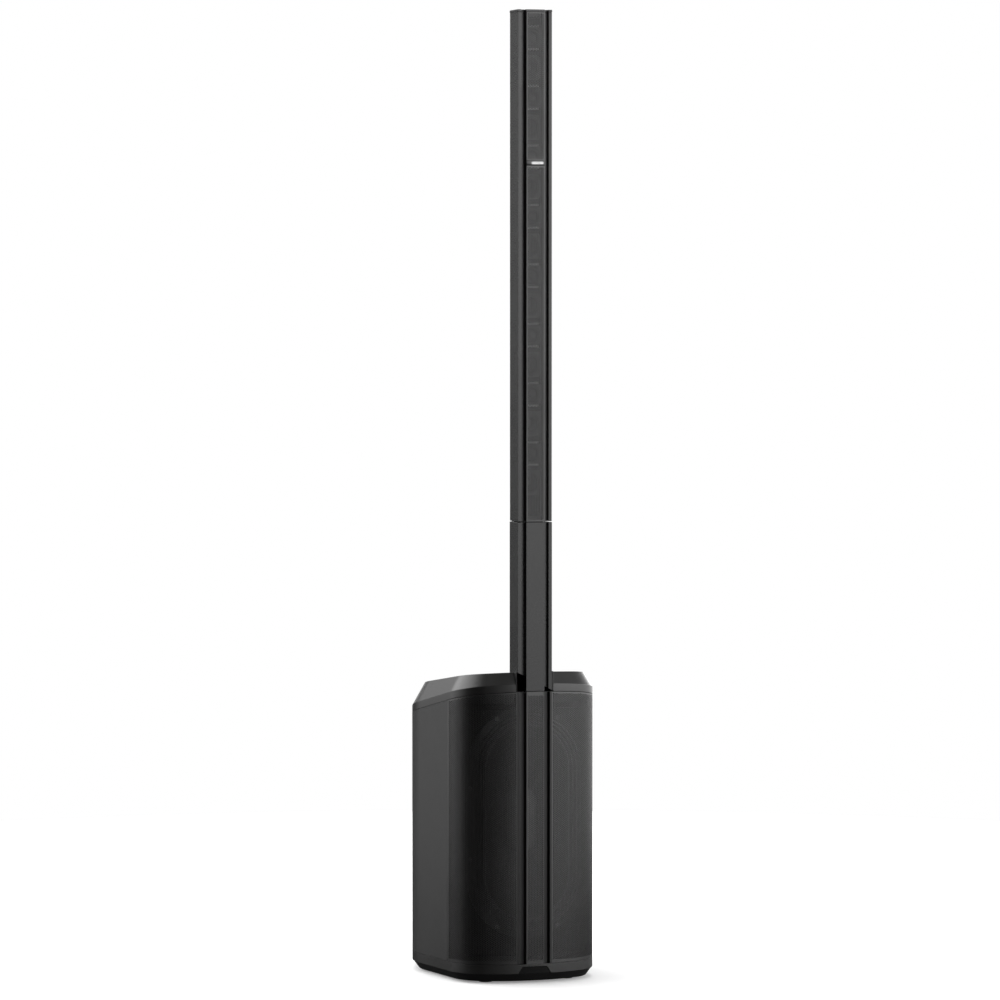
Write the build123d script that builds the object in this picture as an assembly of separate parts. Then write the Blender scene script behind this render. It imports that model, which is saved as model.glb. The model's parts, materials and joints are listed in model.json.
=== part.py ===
"""Portable column loudspeaker: a powered bass base, a riser and a slim array of sixteen drivers.

Millimetres. Everything is drawn with y = 0 at the front face, y growing to the rear, and z = 0 on
the floor. save() then moves it so that the origin is the middle of the footprint.
"""

import os
from math import atan2, cos, degrees, radians, sin, sqrt

from build123d import *

os.makedirs("parts", exist_ok=True)

# ---- overall size
HEIGHT = 2011.0
WIDTH = 355.0
DEPTH = 455.0

# ---- plan outline of the base
FRONT_GAP = 1.5  # the curved front stands this far behind the flat middle strip
FRONT_R = 270.5
CORNER_R = 90.0
SIDE_FLARE = 7.9  # degrees that each side opens towards the rear
BULGE_R = 165.0  # rounding at the widest place
BULGE_Y = 257.0
REAR_TAPER = 21.0
REAR_R = 40.0

# ---- levels of the base
SKIRT_LOW = 4.0
SKIRT_TOP = 20.0
SKIRT_INSET = 13.0
TRIM_TOP = 40.0
GRILLE_TOP = 606.0  # at the front; everything up here falls towards the rear
LID_BREAK = 622.0
LID_TOP = 648.0
SHELL_SLOPE = 0.21
LID_SLOPE = 0.14
LID_DRAFT = 30.0
GRILLE_END = 103.0  # the grille wraps round the corners to here
GRILLE_THICK = 1.6
CHANNEL_HALF = 30.6  # each wing of the grille starts at a sloping lip beside the channel
LIP_Y = 9.75
LIP_HALF = 33.0
LIP_FRONT_Y = 3.5
WALL = 9.0
SKIN = 3.2
GAP = 0.3  # room between neighbouring shells

# ---- section shared by the riser and the array
STRIP_HALF = 20.0
GROOVE_HALF = 29.7
COLUMN_HALF = 37.0
COLUMN_DEPTH = 80.0
WING_Y = 3.5
GROOVE_Y = 12.0
COLUMN_REAR_R = 30.0
COLUMN_WALL = 2.2
COLUMN_FOOT = 606.5
SEAM_Z = 957.0
CAP_THICK = 5.0
SPIGOT_HALF = 24.0
SPIGOT_FRONT = 20.0
SPIGOT_REAR = 66.0
BASE_SPIGOT_LOW = 578.0
ARRAY_SPIGOT_LOW = 912.0
SPIGOT_GAP = 0.6

# ---- array drivers
DRIVER_COUNT = 16
DRIVER_PITCH = 61.2
DRIVER_TOP_Z = 1954.0
DRIVER_FRAME = 52.0
DRIVER_TURN = 24.0
DRIVER_Y = 27.0
TILTED_DRIVERS = 6  # the lowest ones also look down, more and more
TILT_STEP = 1.6
BADGE_Z = 1696.0
BADGE_HALF = 19.5
BADGE_TALL = 11.0

# ---- woofer, a long racetrack shape standing upright
WOOFER_Z = 330.0
BAFFLE_Y = 57.0
BAFFLE_THICK = 18.0
BAFFLE_TOP = 565.0
FLANGE_SIZE = (484.0, 262.0)
FLANGE_THICK = 5.0
CUTOUT_SIZE = (450.0, 228.0)
SURROUND_SIZE = (456.0, 234.0)
SURROUND_FRONT_Y = 45.0
CONE_SIZE = (400.0, 178.0)
CAP_SIZE = (137.0, 70.0)
DOME_SIZE = (112.0, 46.0)  # the cap's flat front
DOME_FRONT_Y = 84.0
CONE_FRONT_Y = 51.0
CONE_REAR_Y = 97.0
CONE_WALL = 2.5
COIL_R = 36.0
MAGNET_R = 70.0
MAGNET_Y = (122.0, 165.0)
POLE_HOLE_R = 10.0
SPIDER_Y = 112.0
SCREW_R = 2.2
SCREW_HEAD_R = 4.2
BASKET_MOUTH = (436.0, 214.0)
BASKET_OUTSIDE = (448.0, 226.0)

# ---- rear panel
PANEL_HALF = 81.7
PANEL_Z = (66.3, 471.7)
PANEL_BACK = 430.0
PANEL_FACE = 433.0
PANEL_RIM = 3.2
PANEL_LEDGE = 4.0
KNOB_X = (-48.0, 0.0, 48.0)
KNOB_Z = 436.0
KNOB_R = 12.5
BUTTONS = {"system_eq_button": (-18.0, 292.0, 6.0), "pair_button": (18.0, 292.0, 6.0),
           "power_button": (48.0, 236.0, 9.0)}
COMBO_X = (48.0, 0.0)
JACK_Z = 376.0
AUX_X = -48.0
LINE_Z = 330.0
INLET_PLACE = (-38.0, 236.0)
HEATSINK_WINDOW = ((-68.2, 68.2), (81.8, 170.2))
FLANGE_PROUD = 2.0  # how far the connectors' flanges stand on the panel
XLR_R = 12.0
CHASSIS_X = 76.0
CHASSIS_Y = 338.0
CHASSIS_Z = (76.0, 466.0)
SHEET = 1.5
BOARD_Y = 396.0
SUPPLY_Y = 344.0
HANDLE_HALF = 62.0
HANDLE_WALL = 2.6
HANDLE_LOW = 545.0
HANDLE_Y = (372.0, 424.0)


def save(name, *shapes):
    """Writes one node, moved so that the origin is the middle of the footprint."""
    placed = [Pos(0, -DEPTH / 2, 0) * shape for shape in shapes]
    solids = [solid for shape in placed for solid in shape.solids()]
    export_step(solids[0] if len(solids) == 1 else Compound(children=solids), f"parts/{name}.step")


def block(x_range, y_range, z_range):
    """A box between two limits on each axis."""
    size = [high - low for low, high in (x_range, y_range, z_range)]
    middle = [(high + low) / 2 for low, high in (x_range, y_range, z_range)]
    return Pos(*middle) * Box(*size)


def rear_axis(x, y, z):
    """A plane whose normal points to the rear."""
    return Plane(origin=(x, y, z), x_dir=(1, 0, 0), z_dir=(0, 1, 0))


def rod(x, z, radius, y_range):
    """A cylinder that runs from front to rear."""
    return extrude(rear_axis(x, y_range[0], z) * Circle(radius), y_range[1] - y_range[0])


def tilted(level, slope):
    """The plane z = level - slope * y."""
    return Plane(origin=(0, 0, level), z_dir=(0, slope, 1))


def below(shape, level, slope):
    return split(shape, bisect_by=tilted(level, slope), keep=Keep.BOTTOM)


# ---------------------------------------------------------------- plan outline

def plan_arcs():
    """Centre, radius and angles of each tangent arc, from the front middle round the right side."""
    flare = radians(SIDE_FLARE)
    taper = radians(REAR_TAPER)
    bulge = Vector(WIDTH / 2 - BULGE_R, BULGE_Y)
    along = Vector(sin(flare), cos(flare))
    outward = Vector(cos(flare), -sin(flare))
    front = Vector(0, FRONT_GAP + FRONT_R)
    track = bulge + outward * (BULGE_R - CORNER_R)
    away = track - front
    reach = away.dot(along)
    corner = track - along * (reach + sqrt(reach**2 - away.dot(away) + (FRONT_R - CORNER_R) ** 2))
    turn = degrees(atan2((corner - front).Y, (corner - front).X))
    back_out = Vector(cos(taper), sin(taper))
    start = bulge + back_out * (BULGE_R - REAR_R)
    run = (DEPTH - REAR_R - start.Y) / cos(taper)
    rear = start + Vector(-sin(taper), cos(taper)) * run
    return [(front, FRONT_R, -90.0, turn), (corner, CORNER_R, turn, -SIDE_FLARE),
            (bulge, BULGE_R, -SIDE_FLARE, REAR_TAPER), (rear, REAR_R, REAR_TAPER, 90.0)]


def plan(inset=0.0):
    """The base's plan outline as a face, moved inwards by inset."""
    edges = []
    last = None
    for centre, radius, start, end in plan_arcs():
        arc = CenterArc((centre.X, centre.Y), radius - inset, start, end - start)
        if last is not None and (arc @ 0 - last).length > 1e-6:
            edges.append(Line(last, arc @ 0))
        edges.append(arc)
        last = arc @ 1
    edges.append(Line(last, (0, last.Y)))
    edges += [edge.mirror(Plane.YZ) for edge in edges]
    return make_face(edges)


def prism(inset, low, high):
    return extrude(Pos(0, 0, low) * plan(inset), high - low)


def sheared(shape, level):
    """Lays a shape drawn on z = 0 onto the plane that the shell's top edge follows."""
    return shape.transform_geometry(Matrix([[1, 0, 0, 0], [0, 1, 0, 0], [0, -SHELL_SLOPE, 1, level]]))


# ---------------------------------------------------------------- base housing

def lid_body(inset, band_low, top_drop):
    """A straight band with a drafted crown on it, cut off by the sloping top."""
    crown_height = 72.0
    band = extrude(Pos(0, 0, band_low) * plan(inset), -band_low)
    crown = extrude(plan(inset), crown_height, taper=LID_DRAFT)
    return below(band + crown, LID_TOP - LID_BREAK - top_drop, LID_SLOPE - SHELL_SLOPE)


def handle_block(grow):
    return block((-HANDLE_HALF - grow, HANDLE_HALF + grow),
                 (HANDLE_Y[0] - grow, HANDLE_Y[1] + grow), (HANDLE_LOW, LID_TOP))


def top_lid():
    outer = lid_body(0.0, GRILLE_TOP - LID_BREAK, 0.0)
    inner = lid_body(SKIN, GRILLE_TOP - LID_BREAK - 1, SKIN)
    lid = sheared(outer - inner, LID_BREAK)
    notch = block((-COLUMN_HALF - 3.6, COLUMN_HALF + 3.6), (-2.0, COLUMN_DEPTH + 4.6), (590.0, 660.0))
    return lid - notch - handle_block(GAP)


def carry_handle():
    """The pocket let into the lid's top, with a rim that ends flush with it."""
    cup = below(handle_block(0.0), LID_TOP, LID_SLOPE)
    hollow = block((-HANDLE_HALF + HANDLE_WALL, HANDLE_HALF - HANDLE_WALL),
                   (HANDLE_Y[0] + HANDLE_WALL, HANDLE_Y[1] - HANDLE_WALL), (HANDLE_LOW + 3.0, LID_TOP))
    return cup - hollow


def panel_block(grow, y_range):
    """The rear panel's outline, grown all round, between two depths."""
    size = (2 * (PANEL_HALF + grow), PANEL_Z[1] - PANEL_Z[0] + 2 * grow)
    face = rear_axis(0, y_range[0], sum(PANEL_Z) / 2) * RectangleRounded(*size, 8.0 + grow)
    return extrude(face, y_range[1] - y_range[0])


def cabinet_shell():
    """Sides, floor and rear wall in one moulding, with a frame round the front for the grille."""
    skirted = GRILLE_THICK + GAP
    high = LID_BREAK
    outside = prism(skirted, TRIM_TOP, high)
    outside += prism(0.0, TRIM_TOP, high) & block((-200, 200), (GRILLE_END + GAP, 500), (0, 700))
    room = prism(skirted + WALL, TRIM_TOP + WALL, high + 10)
    window = block((-138, 138), (-5, BAFFLE_Y), (TRIM_TOP + 18, GRILLE_TOP - 24))
    strip_room = block((-37, 37), (-5, GROOVE_Y + 2.0), (0, high))
    bay = block((-44.4, 44.4), (-5, 90), (BASE_SPIGOT_LOW - 4.4, high))
    shell = below(outside - room, GRILLE_TOP - 0.2, SHELL_SLOPE)
    collar_low = PANEL_BACK - 3.0
    shell += panel_block(GAP + PANEL_RIM, (collar_low, DEPTH - WALL / 2))
    shell -= panel_block(GAP, (PANEL_BACK - 0.1, DEPTH + 5)) + panel_block(-PANEL_LEDGE, (400.0, DEPTH))
    return shell - window - strip_room - bay


def bottom_trim_band():
    """A ring round the foot of the cabinet with an arched notch at the front."""
    ring = prism(0.0, SKIRT_TOP, TRIM_TOP - GAP) - prism(4.0, SKIRT_TOP - 1, TRIM_TOP)
    return ring - arch(0.0, 0.0)


def arch(side_gap, drop):
    """The notch: a low arch, wide at its foot."""
    foot, crown, rise = 36.0 - side_gap, 27.0 - side_gap, 15.0 - drop
    outline = make_face(Polyline((-foot, 0), (foot, 0), (crown, rise), (-crown, rise), close=True))
    outline = fillet(outline.vertices().filter_by(lambda v: v.Y > 1), 6.0)
    base_plane = Plane(origin=(0, 0, SKIRT_TOP - 0.01), x_dir=(1, 0, 0), z_dir=(0, -1, 0))
    return extrude(base_plane * outline, 20.0, both=True)


def base_skirt():
    """A shallow tub under the cabinet, drawn in towards the floor."""
    rise = SKIRT_TOP - SKIRT_LOW
    draft = degrees(atan2(SKIRT_INSET - 1.5, rise))
    foot = Pos(0, 0, SKIRT_TOP) * Rot(180, 0, 0) * extrude(mirror(plan(1.5), Plane.XZ), rise, taper=draft)
    core = prism(4.4, SKIRT_TOP, TRIM_TOP)
    tongue = prism(1.2, SKIRT_TOP, TRIM_TOP) & arch(0.6, 0.6)
    return foot + core + tongue - prism(20.0, SKIRT_LOW + 3.5, TRIM_TOP + 1)


def foot_places():
    return [(-88, 62), (88, 62), (-118, 330), (118, 330)]


def rubber_feet():
    return [Pos(x, y, 0) * Cone(14.0, 16.0, SKIRT_LOW, align=(Align.CENTER, Align.CENTER, Align.MIN))
            for x, y in foot_places()]


def channel_face():
    """Half section of the strip, its channel and the lip where the curved wing starts."""
    thick = GRILLE_THICK
    front = [(0, 0), (STRIP_HALF, 0), (STRIP_HALF, GROOVE_Y), (CHANNEL_HALF, GROOVE_Y),
             (CHANNEL_HALF, LIP_Y), (LIP_HALF, LIP_FRONT_Y), (LIP_HALF + 3.0, LIP_FRONT_Y + 1.1)]
    back = [(LIP_HALF + thick, LIP_FRONT_Y + 1.7), (CHANNEL_HALF + thick, LIP_Y + 0.4),
            (CHANNEL_HALF + thick, GROOVE_Y + thick), (STRIP_HALF - thick, GROOVE_Y + thick),
            (STRIP_HALF - thick, thick), (0, thick)]
    return make_face(Polyline(*front, *back, close=True))


def bass_grille():
    """One perforated sheet: two curved wings and a proud middle strip between two channels."""
    high = LID_BREAK
    foot = TRIM_TOP + GAP
    sheet = prism(0.0, foot, high) - prism(GRILLE_THICK, foot - 1, high + 1)
    sheet &= block((-200, 200), (-5, GRILLE_END), (0, 700))
    sheet -= block((-LIP_HALF, LIP_HALF), (-5, 30), (0, 700))
    channel = extrude(Pos(0, 0, foot) * channel_face(), high - foot)
    sheet += channel + mirror(channel, Plane.YZ)
    return below(sheet, GRILLE_TOP - 0.6, SHELL_SLOPE)


def front_baffle():
    rear = BAFFLE_Y + BAFFLE_THICK
    inset = GRILLE_THICK + GAP + WALL + GAP
    board = prism(inset, TRIM_TOP + WALL, BAFFLE_TOP) & block((-200, 200), (BAFFLE_Y, rear), (0, 700))
    return board - racetrack(CUTOUT_SIZE, BAFFLE_Y - 1, rear + 1) - woofer_screws_tool()


# ---------------------------------------------------------------- woofer

def racetrack_face(size, y):
    return rear_axis(0, y, WOOFER_Z) * SlotOverall(size[0], size[1], rotation=90)


def racetrack(size, y_low, y_high):
    return extrude(racetrack_face(size, y_low), y_high - y_low)


def racetrack_loft(front_size, front_y, rear_size, rear_y):
    return loft([racetrack_face(front_size, front_y), racetrack_face(rear_size, rear_y)], ruled=True)


def screw_places():
    """Eight places round the woofer's flange."""
    straight = (FLANGE_SIZE[0] - FLANGE_SIZE[1]) / 2
    turn = (FLANGE_SIZE[1] + CUTOUT_SIZE[1]) / 4 + 2.0
    places = [(side * turn, WOOFER_Z + level) for side in (-1, 1) for level in (-74.0, 74.0)]
    for side in (-1, 1):
        for way in (-1, 1):
            reach_x, reach_z = turn * cos(radians(58)), turn * sin(radians(58))
            places.append((side * reach_x, WOOFER_Z + way * (straight + reach_z)))
    return places


def screw_shank(x, z):
    return rod(x, z, SCREW_R, (BAFFLE_Y - FLANGE_THICK, BAFFLE_Y + 14.0))


def woofer_screws_tool():
    return Part() + [screw_shank(x, z) for x, z in screw_places()]


def woofer_screws():
    seat = BAFFLE_Y - FLANGE_THICK
    front = seat - 2.4
    screws = []
    for x, z in screw_places():
        head = rod(x, z, SCREW_HEAD_R, (front, seat))
        socket = extrude(rear_axis(x, front, z) * RegularPolygon(2.0, 6), 1.6)
        screws.append(head + screw_shank(x, z) - socket)
    return screws


def woofer_basket():
    """Flange, open tub and the ring that carries the motor."""
    waist, rear, front = 80.0, MAGNET_Y[0] - 0.5, BAFFLE_Y - FLANGE_THICK
    windows_y = (86.0, 112.0)
    flange = racetrack(FLANGE_SIZE, front, BAFFLE_Y) - racetrack(BASKET_MOUTH, front - 1, BAFFLE_Y + 1)
    tub = racetrack(BASKET_OUTSIDE, BAFFLE_Y - 1, waist)
    tub += racetrack_loft(BASKET_OUTSIDE, waist, (240.0, 152.0), rear)
    tub -= racetrack(BASKET_MOUTH, front - 1, waist)
    tub -= racetrack_loft(BASKET_MOUTH, waist, (228.0, 140.0), rear - 5.0)
    tub -= rod(0, WOOFER_Z, 52.0, (waist, rear + 1))
    for level in (-128.0, -43.0, 43.0, 128.0):
        tub -= block((-130, 130), windows_y, (WOOFER_Z + level - 32, WOOFER_Z + level + 32))
    for side in (-1, 1):
        tub -= block(sorted((side * 8, side * 52)), windows_y, (WOOFER_Z - 250, WOOFER_Z + 250))
    return flange + tub - woofer_screws_tool()


def woofer_magnet():
    front, rear = MAGNET_Y
    back_plate = rear - 8.0
    motor = rod(0, WOOFER_Z, MAGNET_R, (front, rear))
    motor -= rod(0, WOOFER_Z, COIL_R + 2, (front - 1, back_plate))
    motor += rod(0, WOOFER_Z, COIL_R - 3.5, (front - 4, back_plate))
    return motor - rod(0, WOOFER_Z, POLE_HOLE_R, (front - 5, rear + 1))


def woofer_surround():
    """The flexible roll between cone and flange, as a plain ring."""
    ring = racetrack(SURROUND_SIZE, SURROUND_FRONT_Y, BAFFLE_Y - FLANGE_THICK)
    return ring - racetrack((CONE_SIZE[0] + 2, CONE_SIZE[1] + 2), SURROUND_FRONT_Y - 1, BAFFLE_Y)


def woofer_spider():
    ring = rod(0, WOOFER_Z, 62.0, (SPIDER_Y, SPIDER_Y + 1.5))
    return ring - rod(0, WOOFER_Z, COIL_R + 0.6, (SPIDER_Y - 1, SPIDER_Y + 3))


def woofer_cone():
    """Paper cone from a racetrack rim down to a long cap, which is closed by a low dome."""
    cone = racetrack_loft(CONE_SIZE, CONE_FRONT_Y, CAP_SIZE, CONE_REAR_Y)
    cone -= racetrack_loft(CONE_SIZE, CONE_FRONT_Y - CONE_WALL, CAP_SIZE, CONE_REAR_Y - CONE_WALL)
    return cone + racetrack_loft(DOME_SIZE, DOME_FRONT_Y, CAP_SIZE, CONE_REAR_Y - CONE_WALL - 0.01)


def voice_coil():
    wall = 1.5
    return rod(0, WOOFER_Z, COIL_R, (CONE_REAR_Y, 139.0)) - rod(0, WOOFER_Z, COIL_R - wall, (90, 150))


# ---------------------------------------------------------------- base: socket and electronics

def column_socket():
    """Bay that the riser drops into: three walls, a floor and a deeper pocket for the spigot."""
    outer_half = COLUMN_HALF + 3.3
    outer = block((-outer_half, outer_half), (14.0, COLUMN_DEPTH + 4.3), (BASE_SPIGOT_LOW - 4.0, 660.0))
    outer += block((-outer_half, outer_half), (WING_Y, 20.0), (GRILLE_TOP + 0.3, 660.0))
    bay = block((-COLUMN_HALF - 1.0, COLUMN_HALF + 1.0), (-5.0, COLUMN_DEPTH + 0.8), (GRILLE_TOP + 0.4, 670.0))
    pocket = block((-SPIGOT_HALF - SPIGOT_GAP, SPIGOT_HALF + SPIGOT_GAP),
                   (SPIGOT_FRONT - SPIGOT_GAP, SPIGOT_REAR + SPIGOT_GAP), (BASE_SPIGOT_LOW - 2.0, 670.0))
    return below(outer, LID_TOP - 0.2, LID_SLOPE) - bay - pocket


def socket_contacts():
    low = BASE_SPIGOT_LOW - 2.0
    return [Pos(x, 43.0, low) * Cylinder(2.2, 1.8, align=(Align.CENTER, Align.CENTER, Align.MIN))
            for x in (-15.0, -5.0, 5.0, 15.0)]


def jack_body(x, z, radius, depth):
    return rod(x, z, radius, (PANEL_FACE - depth, PANEL_FACE))


def jack_flange(x, z, width, height):
    return extrude(rear_axis(x, PANEL_FACE, z) * RectangleRounded(width, height, 2.5), FLANGE_PROUD)


def combo_jack(x):
    """Flanged round connector: a ring-shaped recess round a disc with a 6.35 mm hole in it."""
    jack = jack_body(x, JACK_Z, XLR_R, 26.0) + jack_flange(x, JACK_Z, 26.0, 31.0)
    face = PANEL_FACE + FLANGE_PROUD
    jack -= rod(x, JACK_Z, 9.6, (face - 12.0, face)) - rod(x, JACK_Z, 7.9, (face - 12.0, face))
    for angle in (90, 210, 330):
        px, pz = x + 5.6 * cos(radians(angle)), JACK_Z + 5.6 * sin(radians(angle))
        jack -= rod(px, pz, 1.25, (face - 10.0, face))
    return jack - rod(x, JACK_Z, 3.25, (face - 18.0, face))


def round_jack(x, z, hole_r, body_r, nut_r, depth):
    face = PANEL_FACE + FLANGE_PROUD
    nut = extrude(rear_axis(x, PANEL_FACE, z) * RegularPolygon(nut_r, 6), FLANGE_PROUD)
    return jack_body(x, z, body_r, depth) + nut - rod(x, z, hole_r, (face - depth, face))


def channel_3_jacks():
    return [round_jack(AUX_X, JACK_Z + 9.0, 3.25, 6.0, 8.0, 20.0),
            round_jack(AUX_X, JACK_Z - 13.0, 1.8, 3.6, 5.5, 14.0)]


def line_output_jack():
    """Flanged male connector with three pins in a round recess."""
    x, face = COMBO_X[0], PANEL_FACE + FLANGE_PROUD
    jack = jack_body(x, LINE_Z, XLR_R, 20.0) + jack_flange(x, LINE_Z, 26.0, 31.0)
    jack -= rod(x, LINE_Z, 9.4, (face - 16.0, face))
    for angle in (270, 150, 30):
        px, pz = x + 5.6 * cos(radians(angle)), LINE_Z + 5.6 * sin(radians(angle))
        jack += rod(px, pz, 1.2, (face - 17.0, face - 4.0))
    return jack


def mixer_port():
    """Rectangular data socket for a remote mixer."""
    x, face = COMBO_X[1], PANEL_FACE + FLANGE_PROUD
    body = block((x - 8.5, x + 8.5), (PANEL_FACE - 20.0, PANEL_FACE), (LINE_Z - 8.0, LINE_Z + 8.0))
    body += jack_flange(x, LINE_Z, 26.0, 26.0)
    return body - block((x - 6.0, x + 6.0), (face - 16.0, face + 1), (LINE_Z - 4.4, LINE_Z + 4.4))


def inlet_block(grow, y_range):
    """The outline of the mains inlet's mating hollow, grown all round, between two depths."""
    x, z = INLET_PLACE
    half_w, half_h, cut = 12.2 + grow, 8.2 + grow, 5.0
    outline = Polyline((x - half_w, z + half_h), (x + half_w, z + half_h), (x + half_w, z - half_h + cut),
                       (x + half_w - cut, z - half_h), (x - half_w + cut, z - half_h),
                       (x - half_w, z - half_h + cut), close=True)
    seat = Plane(origin=(0, y_range[0], 0), x_dir=(1, 0, 0), z_dir=(0, -1, 0))
    return extrude(seat * make_face(outline), y_range[0] - y_range[1])


def mains_inlet():
    """Three-pole inlet with a screw hole at each end of its flange."""
    x, z = INLET_PLACE
    face = PANEL_FACE + FLANGE_PROUD
    body = inlet_block(2.0, (PANEL_FACE - 22.0, PANEL_FACE)) + jack_flange(x, z, 50.0, 24.0)
    body -= inlet_block(0.0, (face - 17.0, face + 1))
    for dx, dz in ((-7.0, -1.5), (0.0, 2.5), (7.0, -1.5)):
        body += block((x + dx - 1.0, x + dx + 1.0), (face - 18.0, face - 5.0), (z + dz - 2.0, z + dz + 2.0))
    for dx in (-20.0, 20.0):
        body -= rod(x + dx, z, 1.8, (PANEL_FACE - 1, face + 1))
    return body


def knob_light_rings():
    return [rod(x, KNOB_Z, 17.0, (PANEL_FACE, PANEL_FACE + 0.8)) - rod(x, KNOB_Z, 14.2, (430, 440))
            for x in KNOB_X]


def channel_knob(x):
    """Fluted cap on a shaft that runs through the panel."""
    low, high, flutes = PANEL_FACE + 0.5, PANEL_FACE + 14.5, 18
    cap = rod(x, KNOB_Z, KNOB_R, (low, high))
    cap = chamfer(cap.faces().sort_by(Axis.Y)[-1].edges(), 1.2)
    flute_ring = KNOB_R + 0.5
    cuts = [rod(x + flute_ring * cos(radians(360 / flutes * n)),
                KNOB_Z + flute_ring * sin(radians(360 / flutes * n)), 1.1, (low - 1, high + 1))
            for n in range(flutes)]
    pointer = block((x - 0.7, x + 0.7), (high - 0.6, high + 1), (KNOB_Z + 5.0, KNOB_Z + KNOB_R))
    shaft = rod(x, KNOB_Z, 3.0, (PANEL_BACK - 16.0, low))
    return cap - cuts - pointer + shaft


def push_button(x, z, radius):
    """Round cap with a retaining collar behind the panel."""
    cap = rod(x, z, radius, (PANEL_BACK - 3.0, PANEL_FACE + 3.0))
    cap = chamfer(cap.faces().sort_by(Axis.Y)[-1].edges(), 0.6)
    return cap + rod(x, z, radius + 1.5, (PANEL_BACK - 5.0, PANEL_BACK - 3.0))


def rear_panel():
    """Flat plate at the foot of the housing's recess, with a cut-out for each thing mounted on it."""
    plate = panel_block(0.0, (PANEL_BACK, PANEL_FACE))
    through = (PANEL_BACK - 1, PANEL_FACE + 1)
    for x in KNOB_X:
        plate -= rod(x, KNOB_Z, 3.6, through)
    for x, z, radius in BUTTONS.values():
        plate -= rod(x, z, radius + 0.25, through)
    for x in COMBO_X:
        plate -= rod(x, JACK_Z, XLR_R + 0.2, through)
    plate -= rod(COMBO_X[0], LINE_Z, XLR_R + 0.2, through)
    plate -= rod(AUX_X, JACK_Z + 9.0, 6.2, through) + rod(AUX_X, JACK_Z - 13.0, 3.8, through)
    plate -= block((-8.7, 8.7), through, (LINE_Z - 8.2, LINE_Z + 8.2))
    plate -= inlet_block(2.2, through)
    plate -= block(HEATSINK_WINDOW[0], through, HEATSINK_WINDOW[1])
    for x, z in panel_screw_places():
        plate -= rod(x, z, 1.6, through)
    return plate


def panel_screw_places():
    return [(x, z) for x in (-73.0, 73.0) for z in (190.0, 320.0, 460.0)]


def panel_screws():
    screws = []
    for x, z in panel_screw_places():
        head = rod(x, z, 3.0, (PANEL_FACE, PANEL_FACE + 2.0)) + rod(x, z, 1.6, (PANEL_BACK, PANEL_FACE))
        socket = extrude(rear_axis(x, PANEL_FACE + 0.8, z) * RegularPolygon(1.5, 6), 2.0)
        screws.append(head - socket)
    return screws


def amplifier_chassis():
    """Sheet-metal box behind the panel, open towards it."""
    inner = CHASSIS_X - SHEET
    outer = block((-CHASSIS_X, CHASSIS_X), (CHASSIS_Y, PANEL_BACK - 0.2), CHASSIS_Z)
    return outer - block((-inner, inner), (CHASSIS_Y + SHEET, PANEL_FACE),
                         (CHASSIS_Z[0] + SHEET, CHASSIS_Z[1] - SHEET))


def heatsink():
    """Block that fills the panel's window, with a flange outside it and upright fins."""
    (left, right), (low, high) = HEATSINK_WINDOW
    face = PANEL_FACE + 3.5
    sink = block((left + 0.2, right - 0.2), (PANEL_BACK - 8.0, face), (low + 0.2, high - 0.2))
    sink += block((left - 5.8, right + 5.8), (PANEL_FACE, face), (low - 7.3, high + 7.8))
    fins, fin_half, outermost = 15, 1.3, 70.0
    for n in range(fins):
        x = outermost * (2 * n / (fins - 1) - 1)
        sink += block((x - fin_half, x + fin_half), (face - 0.5, face + 14.5), (low - 5.8, high + 5.8))
    return sink


def mixer_board():
    """Board across the chassis with a few tall parts, each given by its limits in x and z."""
    board = block((-70, 70), (BOARD_Y, BOARD_Y + 1.6), (184, 462))
    parts = [(-60, -36, 210, 232), (-25, -5, 205, 225), (10, 34, 206, 222), (-56, -30, 268, 286),
             (26, 60, 262, 284), (-58, -40, 340, 356), (24, 44, 410, 424), (-34, -14, 400, 414)]
    for x0, x1, z0, z1 in parts:
        board += block((x0, x1), (BOARD_Y - 5.0, BOARD_Y), (z0, z1))
    return board


def power_supply():
    """Switching supply: a board with transformer, coil and capacitors."""
    board = block((-70, 70), (SUPPLY_Y - 2.0, SUPPLY_Y), (82, 300))
    transformer = block((-30, 26), (SUPPLY_Y, SUPPLY_Y + 40.0), (110, 166))
    filter_block = block((-58, -30), (SUPPLY_Y, SUPPLY_Y + 26.0), (196, 232))
    capacitors = [rod(44.0, 104.0 + 30.0 * n, 12.0, (SUPPLY_Y, SUPPLY_Y + 34.0)) for n in range(4)]
    coil = rod(0.0, 236.0, 20.0, (SUPPLY_Y, SUPPLY_Y + 18.0)) - rod(0.0, 236.0, 9.0, (SUPPLY_Y + 1, 400.0))
    return board + transformer + filter_block + capacitors + coil


# ---------------------------------------------------------------- column

def column_face(grow, wall):
    """Section of the column: a strip between two grooves, side wings and a rounded back."""
    half = COLUMN_HALF + grow - wall
    rear = COLUMN_DEPTH + grow - wall
    radius = COLUMN_REAR_R + grow - wall
    front = WING_Y + wall
    turn = rear - radius
    middle = Vector(half - radius, turn) + Vector(cos(radians(45)), sin(radians(45))) * radius
    if wall > 0:
        start = [(0, GROOVE_Y + wall), (GROOVE_HALF + wall, GROOVE_Y + wall), (GROOVE_HALF + wall, front)]
    else:
        start = [(0, GROOVE_Y), (GROOVE_HALF, GROOVE_Y), (GROOVE_HALF, front)]
    edges = [Line(a, b) for a, b in zip(start, start[1:] + [(half, front)])]
    edges.append(Line((half, front), (half, turn)))
    edges.append(ThreePointArc((half, turn), (middle.X, middle.Y), (half - radius, rear)))
    edges.append(Line((half - radius, rear), (0, rear)))
    edges += [edge.mirror(Plane.YZ) for edge in edges]
    return make_face(edges)


def column_run(grow, wall, low, high):
    return extrude(Pos(0, 0, low) * column_face(grow, wall), high - low)


def strip_block(y_range, low, high, grow=0.0):
    return block((-STRIP_HALF - grow, STRIP_HALF + grow), y_range, (low, high))


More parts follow.
